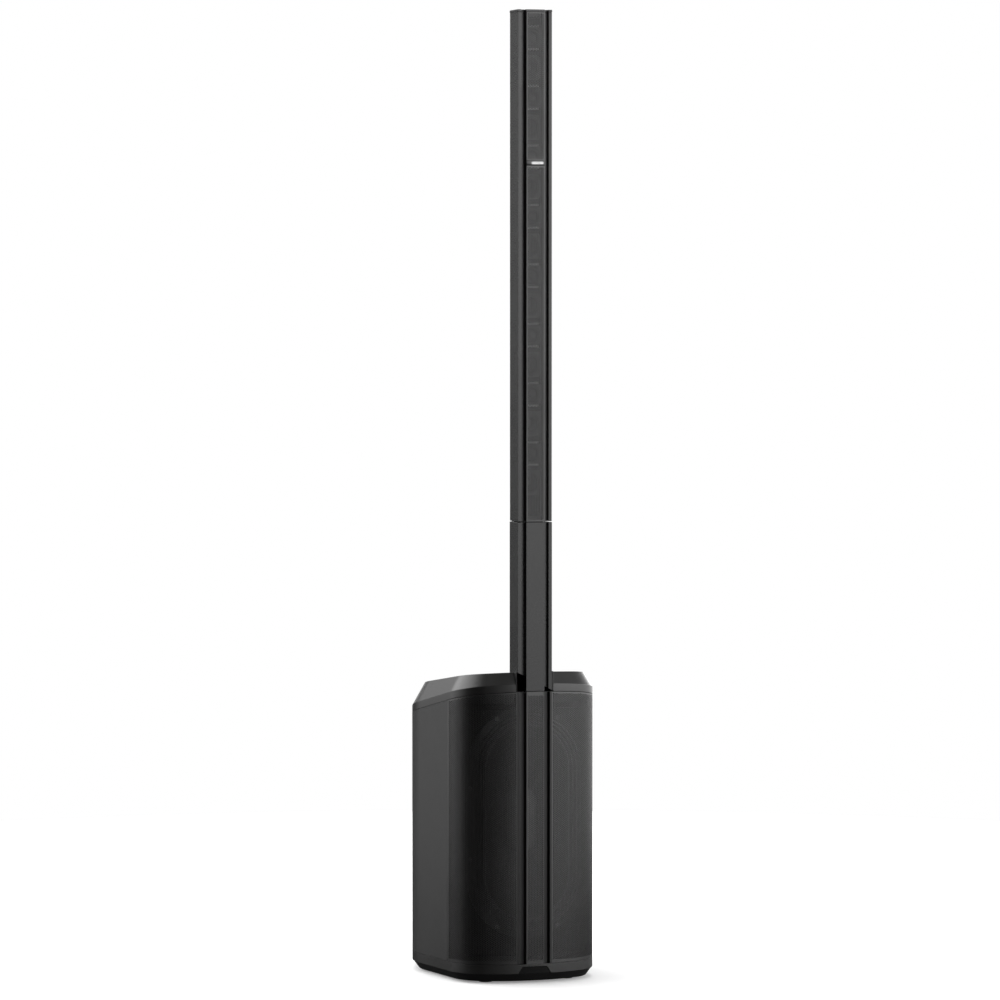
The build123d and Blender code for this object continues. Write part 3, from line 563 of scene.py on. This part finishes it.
def hex_field(width, height, margins):
    """Flat sheet of six-sided cells with a six-sided hole in each, plain within the margins.

    Columns of holes stand upright, every second one half a pitch higher. margins are for the start,
    the end, the foot and the top.
    """
    step_x, step_z = HOLE_PITCH * sqrt(3) / 2, HOLE_PITCH
    start, end, foot, top = margins
    column, row = np.mgrid[0:int(width / step_x) + 3, 0:int(height / step_z) + 3]
    x = (step_x * column).ravel()
    z = (step_z * (row + 0.5 * (column % 2) - 0.5)).ravel()
    holed = (x > start) & (x < width - end) & (z > foot) & (z < height - top)
    turn = np.radians(60 * np.arange(6))
    cells_at = []
    for radius in (HOLE_PITCH / sqrt(3), HOLE_R):
        ring = np.zeros((len(x), 6, 3))
        ring[:, :, 0] = x[:, None] + radius * np.cos(turn)
        ring[:, :, 2] = z[:, None] + radius * np.sin(turn)
        cells_at.append(ring)
    points = np.concatenate(cells_at, axis=1).reshape(-1, 3)
    first = 12 * np.arange(len(x))[:, None]
    side = np.arange(6)
    quads = np.stack([side, (side + 1) % 6, 6 + (side + 1) % 6, 6 + side], axis=1)
    faces = (first[holed][:, :, None] + quads).reshape(-1, 4).tolist()
    faces += (first[~holed] + side).tolist()
    mesh = bpy.data.meshes.new("field")
    mesh.from_pydata(points.tolist(), [], faces)
    bm = bmesh.new()
    bm.from_mesh(mesh)
    bpy.data.meshes.remove(mesh)
    bmesh.ops.remove_doubles(bm, verts=bm.verts, dist=0.01)
    loose = [vert for vert in bm.verts if not vert.link_faces]
    bmesh.ops.delete(bm, geom=loose, context="VERTS")
    cut(bm, (0, 0, 0), (-1, 0, 0))
    cut(bm, (width, 0, 0), (1, 0, 0))
    cut(bm, (0, 0, 0), (0, 0, -1))
    cut(bm, (0, 0, height), (0, 0, 1))
    return bm


def thicken(made, thick):
    """Gives an open sheet, whose faces look forward, a back and walls round every hole."""
    solid = made.modifiers.new("sheet", "SOLIDIFY")
    solid.thickness = thick * MM
    solid.offset = -1.0
    apply_modifiers(made)
    made.data.set_sharp_from_angle(angle=radians(35.0))


def sheet_piece(bm, name, body, thick, *stands_for):
    """An open sheet turned into a solid piece in grille steel."""
    bm.normal_update()
    if sum(face.normal.y for face in bm.faces) > 0:
        bmesh.ops.reverse_faces(bm, faces=bm.faces)
    made = piece(bm, name, body, "grille_steel", *stands_for, tidy=False)
    thicken(made, thick)


def wing_place(distance):
    """Point of the base's plan outline, going round from the edge beside the channel."""
    if distance < FRONT_ARC:
        turn = radians(WING_ANGLE) + distance / FRONT_R
        return FRONT_R * cos(turn), FRONT_GAP + FRONT_R + FRONT_R * sin(turn)
    distance -= FRONT_ARC
    turn = radians(CORNER_START) + distance / CORNER_R
    if turn < radians(-SIDE_FLARE):
        return CORNER_MIDDLE[0] + CORNER_R * cos(turn), CORNER_MIDDLE[1] + CORNER_R * sin(turn)
    past = distance - CORNER_ARC
    flare = radians(SIDE_FLARE)
    x = CORNER_MIDDLE[0] + CORNER_R * cos(flare) + past * sin(flare)
    return x, CORNER_MIDDLE[1] - CORNER_R * sin(flare) + past * cos(flare)


def wing_length():
    """Length of the wing's sheet: front arc, corner and straight end."""
    flare = radians(SIDE_FLARE)
    straight = (GRILLE_END - CORNER_MIDDLE[1] + CORNER_R * sin(flare)) / cos(flare)
    return FRONT_ARC + CORNER_ARC + straight


def grille_high(y):
    """Height of the sloping top edge of the base's grille."""
    return GRILLE_TOP - SHELL_SLOPE * y


def base_grille():
    """Two perforated wings, each in a lower and an upper half, the strip and the channels."""
    foot, top = GRILLE_FOOT, GRILLE_TOP
    split = foot + HOLE_PITCH * round((top - foot) / 2 / HOLE_PITCH)
    length = wing_length()
    # the halves meet without a plain margin, so that the holes run on
    lower = ("lower", foot, split, (2.0, 5.0, 6.0, -9.0))
    upper = ("upper", split, top, (2.0, 5.0, -9.0, 3.0))
    for half, low, high, margins in (lower, upper):
        for side, word in ((-1, "left"), (1, "right")):
            bm = hex_field(length, high - low, margins)
            if half == "upper":
                plain_top(bm, low)
            for vert in bm.verts:
                x, y = wing_place(vert.co.x)
                vert.co = at(side * x, y, low + vert.co.z)
            if half == "upper":
                cut(bm, at(0, 0, top), (0, SHELL_SLOPE, 1))
            stands = ("bass_grille",) if (half, side) == ("lower", -1) else ()
            sheet_piece(bm, f"grille_{word}_{half}", "base", GRILLE_THICK, *stands)
    bm = hex_field(2 * PANEL_HALF, top - foot, (2.0, 2.0, 6.0, 8.0))
    for vert in bm.verts:
        vert.co = at(vert.co.x - PANEL_HALF, 0.0, foot + vert.co.z)
    sheet_piece(bm, "grille_strip", "base", GRILLE_THICK)
    path = fillet_path([(PANEL_HALF, 0.0), (STRIP_HALF, 0.0), (STRIP_HALF, GROOVE_Y),
                        (CHANNEL_HALF, GROOVE_Y), (CHANNEL_HALF, LIP_Y), (LIP_HALF, LIP_TIP_Y),
                        (WING_START, WING_LEAD_Y)], CHANNEL_BEND)
    # the last point lies on the wing itself
    path[-1] = Vector((WING_START, FRONT_GAP + FRONT_R - sqrt(FRONT_R**2 - WING_START**2)))
    bm = mirrored(folded_sheet(path, GRILLE_THICK, foot, grille_high))
    made = piece(bm, "grille_channels", "base", "grille_steel")
    # painted shade: the channels get the darker copy of the grille steel
    made.data.materials[0] = FINISH["channel_painted_shade"]


def plain_top(bm, low):
    """Closes the holes that lie close to the sloping top edge."""
    closed = []
    for edge in bm.edges:
        edge.tag = edge.is_boundary
    for vert in bm.verts:
        _, y = wing_place(vert.co.x)
        vert.tag = low + vert.co.z > grille_high(y) - PLAIN_TOP
    for edge in bm.edges:
        if edge.tag and all(vert.tag for vert in edge.verts):
            closed.append(edge)
    bmesh.ops.holes_fill(bm, edges=closed, sides=6)


def array_mesh():
    """The array's perforated strip, in two lengths with the badge between, and its folded sides."""
    foot, top = (corner.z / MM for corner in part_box("array_grille"))
    badge_foot, badge_top = (corner.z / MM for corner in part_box("badge_plate"))
    for word, low, high in (("lower", foot, badge_foot), ("upper", badge_top, top)):
        bm = hex_field(2 * PANEL_HALF, high - low, (2.0, 2.0, 3.0, 3.0))
        for vert in bm.verts:
            vert.co = at(vert.co.x - PANEL_HALF, 0.0, low + vert.co.z)
        stands = ("array_grille",) if word == "lower" else ()
        sheet_piece(bm, f"array_mesh_{word}", "array", ARRAY_MESH_THICK, *stands)
    path = fillet_path([(PANEL_HALF, 0.0), (STRIP_HALF, 0.0), (STRIP_HALF, GROOVE_Y - 0.1)],
                       ARRAY_BEND)
    sides = folded_sheet(path, ARRAY_MESH_THICK, foot, lambda y: top)
    piece(mirrored(sides), "array_mesh_sides", "array", "grille_steel")


# ------------------------------------------------------------------ woofer

def track(half_long, half_short, count):
    """Points of an upright racetrack outline, as (x, z) round the woofer's middle."""
    straight = half_long - half_short
    points = []
    for n in range(count):
        turn = 2 * pi * n / count
        x, z = half_short * cos(turn), half_short * sin(turn)
        points.append((x, z + (straight if n <= count / 2 else -straight)))
    return points


def track_rings(rings, count=128):
    """Faces between racetrack outlines, each given as (half length, half width, y)."""
    points = []
    for half_long, half_short, y in rings:
        points += [at(x, y, WOOFER_Z + z) for x, z in track(half_long, half_short, count)]
    return points, ring_faces(len(rings), count)


def rolls():
    """Profile of the pleated surround from its outer edge inwards, as (inset, y)."""
    front, rear = SURROUND_Y
    profile, steps = [], 40
    for n in range(steps + 1):
        t = n / steps
        edge = min(1.0, 9 * t, 9 * (1 - t))
        wave = (1 - cos(2 * pi * SURROUND_ROLLS * t)) / 2
        profile.append((SURROUND_WIDTH * t, rear - (rear - front) * wave * edge))
    return profile


def woofer():
    """The moving parts: pleated surround, cone with its cap, and spider."""
    outlines = [(SURROUND[0] - inset, SURROUND[1] - inset, y) for inset, y in rolls()]
    bm = bm_from(*track_rings(skin(outlines, 0.7)))
    surround = piece(bm, "woofer_surround_rolls", "base", "surround_rubber", smooth=80.0)
    surround.parent = None
    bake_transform(surround, "base", "woofer_motion", start=at(0, 0, 0), end=at(0, 1, 0))
    follow_ring(surround, lambda x, z: track_inset(x, z) / SURROUND_WIDTH)
    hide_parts("woofer_surround")
    cone()
    cap()
    spider()


def track_inset(x, z):
    """How far inside the surround's outer edge a point lies."""
    straight = SURROUND[0] - SURROUND[1]
    past = max(abs(z - WOOFER_Z) - straight, 0.0)
    return SURROUND[1] - hypot(x, past)


def follow_ring(made, share):
    """Sets how far each point of a blended ring follows the moving cone."""
    weights = made.data.attributes["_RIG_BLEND"]
    for vert, weight in zip(made.data.vertices, weights.data):
        t = min(max(share(vert.co.x / MM, vert.co.z / MM), 0.0), 1.0)
        weight.value = t * t * (3 - 2 * t)


def cone():
    """Paper cone with a rolled rim and four stiffening ribs."""
    front, rear = CONE_Y
    shell, steps = [], 26
    for n in range(steps + 1):
        t = n / steps
        half_long = CONE_RIM[0] + (CAP_RIM[0] - CONE_RIM[0]) * t
        half_short = CONE_RIM[1] + (CAP_RIM[1] - CONE_RIM[1]) * t
        rim_roll = 1.6 * sin(pi * min(t * 12, 1.0))
        y = front + (rear - front) * (t * 0.82 + 0.18 * t * t) - rim_roll
        shell.append((half_long, half_short, y))
    points, faces = track_rings(skin(shell, CONE_THICK), 160)
    rib_start, rib_long, rib_wide, rib_high = 52.0, 96.0, 5.0, 3.2
    for spot in points:
        x, z = spot.x / MM, spot.z / MM - WOOFER_Z
        along = (abs(z) - rib_start) / rib_long
        if 0.0 < along < 1.0:
            rib_x = 17.0 + 34.0 * along
            for side in (-1, 1):
                away = (x - side * rib_x) / rib_wide
                spot.y -= rib_high * MM * sqrt(sin(pi * along)) * exp(-away * away)
    bm = bm_from(points, faces)
    piece(bm, "woofer_cone_ribbed", "woofer_motion", "cone_paper", "woofer_cone", smooth=60.0)


def cap():
    """Long oval dust cap, domed towards the front."""
    count, steps, foot_y, rise, dome = 96, 10, 96.0, 13.0, 34.0
    outlines = [(CAP_RIM[0] + 1.5, CAP_RIM[1] + 1.5, foot_y)]
    for n in range(1, steps + 1):
        turn = pi / 2 * n / steps
        outlines.append((CAP_RIM[0] - dome + dome * cos(turn), 0.5 + (CAP_RIM[1] - 0.5) * cos(turn),
                         foot_y - rise * sin(turn)))
    points, faces = track_rings(outlines, count)
    last = len(points) - count
    faces.append(tuple(last + n for n in range(count)))
    faces.append(tuple(range(count - 1, -1, -1)))
    piece(bm_from(points, faces), "woofer_cap", "woofer_motion", "surround_rubber", smooth=60.0)


def spider():
    """Corrugated ring that centres the coil."""
    inner, outer = SPIDER
    wave, steps = [], 60
    for n in range(steps + 1):
        t = n / steps
        height = SPIDER_WAVE * sin(2 * pi * SPIDER_WAVES * t) * min(1.0, 8 * t, 8 * (1 - t))
        wave.append((inner + (outer - inner) * t, SPIDER_Y + height))
    turn = Matrix(((1, 0, 0), (0, 0, 1), (0, -1, 0)))
    bm = bm_from(*lathe(skin(wave, 0.5), at(0, 0, WOOFER_Z), turn, 96))
    made = piece(bm, "woofer_spider_waves", "base", "spider_cloth", smooth=80.0)
    made.parent = None
    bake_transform(made, "base", "woofer_motion", start=at(0, 0, 0), end=at(0, 1, 0))
    follow_ring(made, lambda x, z: (outer - hypot(x, z - WOOFER_Z)) / (outer - inner))
    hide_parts("woofer_spider")


# ------------------------------------------------------------------ small drivers

def driver(number):
    """One small full-range driver: square frame with a raised rim, roll, cone, dome and motor.

    The profiles are (radius, depth) pairs in millimetres, with depth 0 at the raised rim.
    """
    name = f"array_driver_{number + 1:02d}"
    side = -1 if number % 2 == 0 else 1
    tilt = max(0, number - (DRIVERS - TILTED_DRIVERS) + 1) * TILT_STEP
    aside = Matrix.Rotation(radians(side * DRIVER_TURN), 3, "Z")
    turn = aside @ Matrix.Rotation(radians(90 + tilt), 3, "X")
    middle = at(0, DRIVER_Y, DRIVER_TOP_Z - DRIVER_PITCH * number)
    half = DRIVER_FRAME / 2
    bm = bmesh.new()

    def add(points, faces, material):
        made = [bm.verts.new(p) for p in points]
        for face in faces:
            bm.faces.new([made[n] for n in face]).material_index = material

    add(*frame_skin(half, middle, turn), 0)
    roll = [(half - 4.0 - 4.6 * n / 10, -1.2 + 2.4 * sin(pi * n / 10)) for n in range(11)]
    add(*lathe(skin(roll, -0.5), middle, turn), 1)
    bowl = [(half - 8.6, -1.2), (13.0, -4.6), (9.0, -9.0), (8.0, -10.6)]
    add(*lathe(skin(bowl, -0.6), middle, turn), 2)
    dome = []
    for n in range(8):
        rise = pi / 2 * n / 8
        dome.append((DOME_R * cos(rise), -10.4 + 4.4 * sin(rise)))
    dome += [(0.05, -6.0), (0.05, -10.8), (DOME_R, -10.8), (DOME_R, -10.4)]
    add(*lathe(dome, middle, turn), 1)
    motor = [(half - 4.1, -2.2), (15.0, -15.6), (15.0, -25.4), (0.05, -25.4), (0.05, -24.4),
             (13.6, -24.4), (13.6, -15.2), (half - 5.3, -2.2), (half - 4.1, -2.2)]
    add(*lathe(motor, middle, turn), 0)
    if side < 0:
        # painted highlights: pale slabs above and below, only on the drivers that face the left, stand in
        # for the light their rims catch
        upright = turn @ Matrix.Rotation(radians(-90), 3, "X")
        for edge in (-1, 1):
            z = edge * (half - 2.6)
            low = middle + Vector((-15.0, -0.9, z - 1.9)) * MM
            high = middle + Vector((15.0, 0.3, z + 1.9)) * MM
            slab(bm, low, high, 3, upright, middle)
    piece(bm, f"{name}_unit", "array", "driver_steel", name,
          extra=("surround_rubber", "cone_paper", "painted_rim_highlight"), smooth=50.0)


def frame_skin(half, middle, turn):
    """A driver's frame: square outside with a raised rim, round inside."""
    count = 64
    rings = []
    for inset, depth in ((0.0, -2.0), (0.0, -0.4), (0.4, 0.0), (1.6, 0.0), (2.2, -0.6)):
        rings.append([(*squircle(half - inset, DRIVER_CORNER - inset, n, count), depth)
                      for n in range(count)])
    for inset, depth in ((3.2, -0.6), (3.6, -0.2), (4.0, -0.6), (4.0, -2.0)):
        radius = half - inset
        rings.append([(radius * cos(2 * pi * n / count), radius * sin(2 * pi * n / count), depth)
                      for n in range(count)])
    rings.append(rings[0])
    points = [middle + turn @ Vector(spot) * MM for ring in rings for spot in ring]
    return points, ring_faces(len(rings), count)


def squircle(half, radius, n, count):
    """Point n of a square outline with rounded corners, spread evenly by angle."""
    turn = 2 * pi * (n + 0.5) / count
    c, s = cos(turn), sin(turn)
    flat = half - radius
    reach = half / max(abs(c), abs(s))
    x, y = reach * c, reach * s
    if abs(x) > flat and abs(y) > flat:
        corner_x = flat if x > 0 else -flat
        corner_y = flat if y > 0 else -flat
        along = c * corner_x + s * corner_y
        off = corner_x * corner_x + corner_y * corner_y - radius * radius
        reach = along + sqrt(max(along * along - off, 0.0))
        x, y = reach * c, reach * s
    return x, y


# ------------------------------------------------------------------ small parts

def badge():
    """A blank gloss plate with a plain silver bar on it."""
    low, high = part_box("badge_plate")
    middle, size = (low + high) / 2, high - low
    plate = bmesh.new()
    shape = Matrix.Diagonal((*size, 1.0))
    bmesh.ops.create_cube(plate, size=1.0, matrix=Matrix.Translation(middle) @ shape)
    bmesh.ops.bevel(plate, geom=plate.edges[:], offset=PLATE_ROUND * MM, segments=3, profile=0.5,
                    affect="EDGES")
    piece(plate, "badge_plate_gloss", "array", "badge_black", "badge_plate")
    bar = bmesh.new()
    place = Matrix.Translation((middle.x + BAR_SHIFT * MM, low.y + BAR_SIZE[1] / 2 * MM, middle.z))
    shape = Matrix.Diagonal((*(length * MM for length in BAR_SIZE), 1.0))
    bmesh.ops.create_cube(bar, size=1.0, matrix=place @ shape)
    front_to_back = [edge for edge in bar.edges
                     if abs(edge.verts[0].co.y - edge.verts[1].co.y) > 1e-5]
    bmesh.ops.bevel(bar, geom=front_to_back, offset=BAR_ROUND * MM, segments=6, profile=0.5,
                    affect="EDGES")
    made = piece(bar, "badge_bar", "array", "badge_black")
    made.data.materials[0] = FINISH["plain_silver"]


def knob(number, x):
    """Rubber cap with rounded flutes, a dished top and a pale pointer, on its shaft."""
    name = f"channel_knob_{number}"
    bm = bmesh.new()
    rings = []
    for radius, y, flute in KNOB_PROFILE:
        ring = []
        for n in range(KNOB_SEGMENTS):
            turn = 2 * pi * n / KNOB_SEGMENTS
            reach = radius - flute * ((1 + cos(KNOB_FLUTES * turn)) / 2) ** 2
            ring.append(bm.verts.new(at(x + reach * sin(turn), y, KNOB_Z + reach * cos(turn))))
        rings.append(ring)
    for near, far in zip(rings, rings[1:]):
        for n in range(KNOB_SEGMENTS):
            after = (n + 1) % KNOB_SEGMENTS
            bm.faces.new((near[n], near[after], far[after], far[n]))
    bm.faces.new(rings[0][::-1])
    bm.faces.new(rings[-1])
    low = at(x - POINTER_HALF, POINTER_Y[0], KNOB_Z + POINTER_REACH[0])
    high = at(x + POINTER_HALF, POINTER_Y[1], KNOB_Z + POINTER_REACH[1])
    slab(bm, low, high, 1)
    piece(bm, f"{name}_cap", body_of_node(name), "knob_rubber", name, extra=("mark_white",),
          smooth=42.0)


def panel_marks():
    """Scale ticks round each knob and bars between the rows."""
    bm = bmesh.new()
    low_y, high_y = PANEL_FACE, PANEL_FACE + MARK_THICK
    for x in KNOB_X:
        middle = at(x, 0, KNOB_Z)
        for tick in range(TICKS):
            turn = Matrix.Rotation(radians(TICK_START - TICK_STEP * tick), 3, "Y")
            low = at(x - 0.35, low_y, KNOB_Z + TICK_REACH[0])
            high = at(x + 0.35, high_y, KNOB_Z + TICK_REACH[1])
            slab(bm, low, high, 0, turn, middle)
    for z in BAR_Z:
        slab(bm, at(-BAR_HALF, low_y, z - 0.3), at(BAR_HALF, high_y, z + 0.3))
    made = piece(bm, "panel_marks", "base", "ring_light")
    made.data.materials[0] = FINISH["mark_white"]


def signal_lamps():
    """A small domed lamp under each knob."""
    turn = Matrix.Rotation(radians(-90), 3, "X")
    profile = [(0.05, 1.1), (1.0, 0.9), (1.6, 0.35), (1.7, 0.0), (0.05, 0.0)]
    for number, x in enumerate(KNOB_X, 1):
        bm = bm_from(*lathe(profile, at(x, PANEL_FACE, LAMP_Z), turn, 24))
        lamp = piece(bm, f"signal_lamp_{number}", "base", "ring_light", smooth=60.0)
        lamp.data.materials[0] = FINISH["lens_green"]


def rounded_shells():
    """Housings and other moulded parts with their edges rounded over."""
    rounded_copy("cabinet_shell", 0.8)
    rounded_copy("top_lid", 1.0, segments=3, angle=24.0, smooth=24.0)
    rounded_copy("bottom_trim_band", 0.4).data.materials[0] = FINISH["trim_plastic"]
    skirt = rounded_copy("base_skirt", 0.25).data
    skirt.materials.append(FINISH["notch_painted_shade"])
    # painted shade: the skirt's faces above SKIRT_TOP, seen through the notch, take the darker, duller copy
    for face in skirt.polygons:
        face.material_index = int(face.center.z > SKIRT_TOP * MM)
    rounded_copy("extension_body", 0.6, segments=3)
    rounded_copy("array_housing", 0.6, segments=3)
    rounded_copy("array_top_cap", 0.5)
    rounded_copy("carry_handle", 0.8)
    rounded_copy("heatsink", 0.2)
    rounded_copy("column_socket", 0.5)


def plain_nodes():
    """Every CAD node that stays gets its slot's finish."""
    for name, made in nodes.items():
        if not made.hide_render:
            made.data.materials[0] = FINISH[slot_of_node(name)]


# ------------------------------------------------------------------ studio

def stage_floor():
    """A pale floor for the camera that throws little light back at the object."""
    bm = bmesh.new()
    bmesh.ops.create_circle(bm, cap_ends=True, segments=128, radius=FLOOR_R)
    mesh = bpy.data.meshes.new("floor")
    bm.to_mesh(mesh)
    bm.free()
    floor = bpy.data.objects.new("floor", mesh)
    scene.collection.objects.link(floor)
    material = bpy.data.materials.new("floor")
    material.use_nodes = True
    tree = material.node_tree
    tree.nodes.clear()
    pale = node(tree, "ShaderNodeBsdfDiffuse", Color=(FLOOR_PALE, FLOOR_PALE, FLOOR_PALE, 1.0))
    glow = node(tree, "ShaderNodeEmission", Strength=FLOOR_GLOW)
    seen = node(tree, "ShaderNodeAddShader")
    tree.links.new(pale.outputs[0], seen.inputs[0])
    tree.links.new(glow.outputs[0], seen.inputs[1])
    dim = node(tree, "ShaderNodeBsdfDiffuse", Color=(FLOOR_BOUNCE, FLOOR_BOUNCE, FLOOR_BOUNCE, 1.0))
    path = node(tree, "ShaderNodeLightPath")
    choose = node(tree, "ShaderNodeMixShader")
    out = node(tree, "ShaderNodeOutputMaterial")
    tree.links.new(path.outputs["Is Camera Ray"], choose.inputs["Fac"])
    tree.links.new(dim.outputs[0], choose.inputs[1])
    tree.links.new(seen.outputs[0], choose.inputs[2])
    tree.links.new(choose.outputs[0], out.inputs["Surface"])
    mesh.materials.append(material)


def ramp(tree, value, stops):
    """Grey levels at places from 0 to 1, blended between the stops."""
    made = node(tree, "ShaderNodeValToRGB")
    while len(made.color_ramp.elements) < len(stops):
        made.color_ramp.elements.new(0.5)
    for element, (place, level) in zip(made.color_ramp.elements, stops):
        element.position = place
        element.color = (level, level, level, 1.0)
    tree.links.new(value, made.inputs["Fac"])
    return made.outputs["Color"]


def bearing_ramp(tree, value, levels):
    """Light levels round the horizon.

    Bearings are degrees from the front, positive towards the left as seen from the front. The
    gradient runs the other way round, from 0 on the left to 1.
    """
    stops = sorted(((90 - bearing) / 360 % 1, level) for bearing, level in levels)
    seam = (stops[0][1] + stops[-1][1]) / 2
    return ramp(tree, value, [(0.0, seam), *stops, (1.0, seam)])


def height_ramp(tree, value, levels):
    """Light levels from straight down, at -90 degrees, to straight up."""
    return ramp(tree, value, [((1 + sin(radians(angle))) / 2, level) for angle, level in levels])


def blended(tree, how, first, second):
    """Two colours added or multiplied."""
    both = node(tree, "ShaderNodeMix", data_type="RGBA", blend_type=how)
    both.inputs["Factor"].default_value = 1.0
    tree.links.new(first, both.inputs[MIX_A])
    tree.links.new(second, both.inputs[MIX_B])
    return both.outputs[MIX_RESULT]


def surroundings():
    """White behind the object, and a soft room of light and dark zones for its reflections."""
    world = bpy.data.worlds.new("studio")
    scene.world = world
    world.use_nodes = True
    tree = world.node_tree
    tree.nodes.clear()
    place = node(tree, "ShaderNodeTexCoord")
    bearing = node(tree, "ShaderNodeTexGradient", gradient_type="RADIAL")
    tree.links.new(place.outputs["Generated"], bearing.inputs["Vector"])
    split = node(tree, "ShaderNodeSeparateXYZ")
    tree.links.new(place.outputs["Generated"], split.inputs["Vector"])
    height = node(tree, "ShaderNodeMapRange", From_Min=-1.0, From_Max=1.0, To_Min=0.0, To_Max=1.0)
    tree.links.new(split.outputs["Z"], height.inputs["Value"])
    walls = blended(tree, "MULTIPLY", bearing_ramp(tree, bearing.outputs["Fac"], WALL_LIGHT),
                    height_ramp(tree, height.outputs["Result"], WALL_HEIGHT))
    high = blended(tree, "MULTIPLY", bearing_ramp(tree, bearing.outputs["Fac"], HIGH_LIGHT),
                   height_ramp(tree, height.outputs["Result"], HIGH_HEIGHT))
    soft = node(tree, "ShaderNodeBackground", Strength=ROOM_LIGHT)
    tree.links.new(blended(tree, "ADD", walls, high), soft.inputs["Color"])
    white = node(tree, "ShaderNodeBackground", Strength=1.0, Color=(1.0, 1.0, 1.0, 1.0))
    path = node(tree, "ShaderNodeLightPath")
    choose = node(tree, "ShaderNodeMixShader")
    out = node(tree, "ShaderNodeOutputWorld")
    tree.links.new(path.outputs["Is Camera Ray"], choose.inputs["Fac"])
    tree.links.new(soft.outputs[0], choose.inputs[1])
    tree.links.new(white.outputs[0], choose.inputs[2])
    tree.links.new(choose.outputs[0], out.inputs["Surface"])


def softbox(name, place, aim, size, power):
    """A rectangular area light, in metres and watts."""
    data = bpy.data.lights.new(name, "AREA")
    data.shape = "RECTANGLE"
    data.size, data.size_y = size
    data.energy = power
    lamp = bpy.data.objects.new(name, data)
    lamp.location = place
    lamp.rotation_euler = (Vector(aim) - Vector(place)).to_track_quat("-Z", "Y").to_euler()
    scene.collection.objects.link(lamp)


def studio():
    scene.view_settings.view_transform = "Standard"
    stage_floor()
    surroundings()
    softbox("overhead", (0.5, 0.9, 4.6), (0.0, 0.0, 0.5), (3.0, 3.0), 160.0)


slot_finishes()
other_finishes()
camera()
studio()
base_grille()
array_mesh()
woofer()
for number in range(DRIVERS):
    driver(number)
badge()
for number, x in enumerate(KNOB_X, 1):
    knob(number, x)
panel_marks()
signal_lamps()
rounded_shells()
plain_nodes()
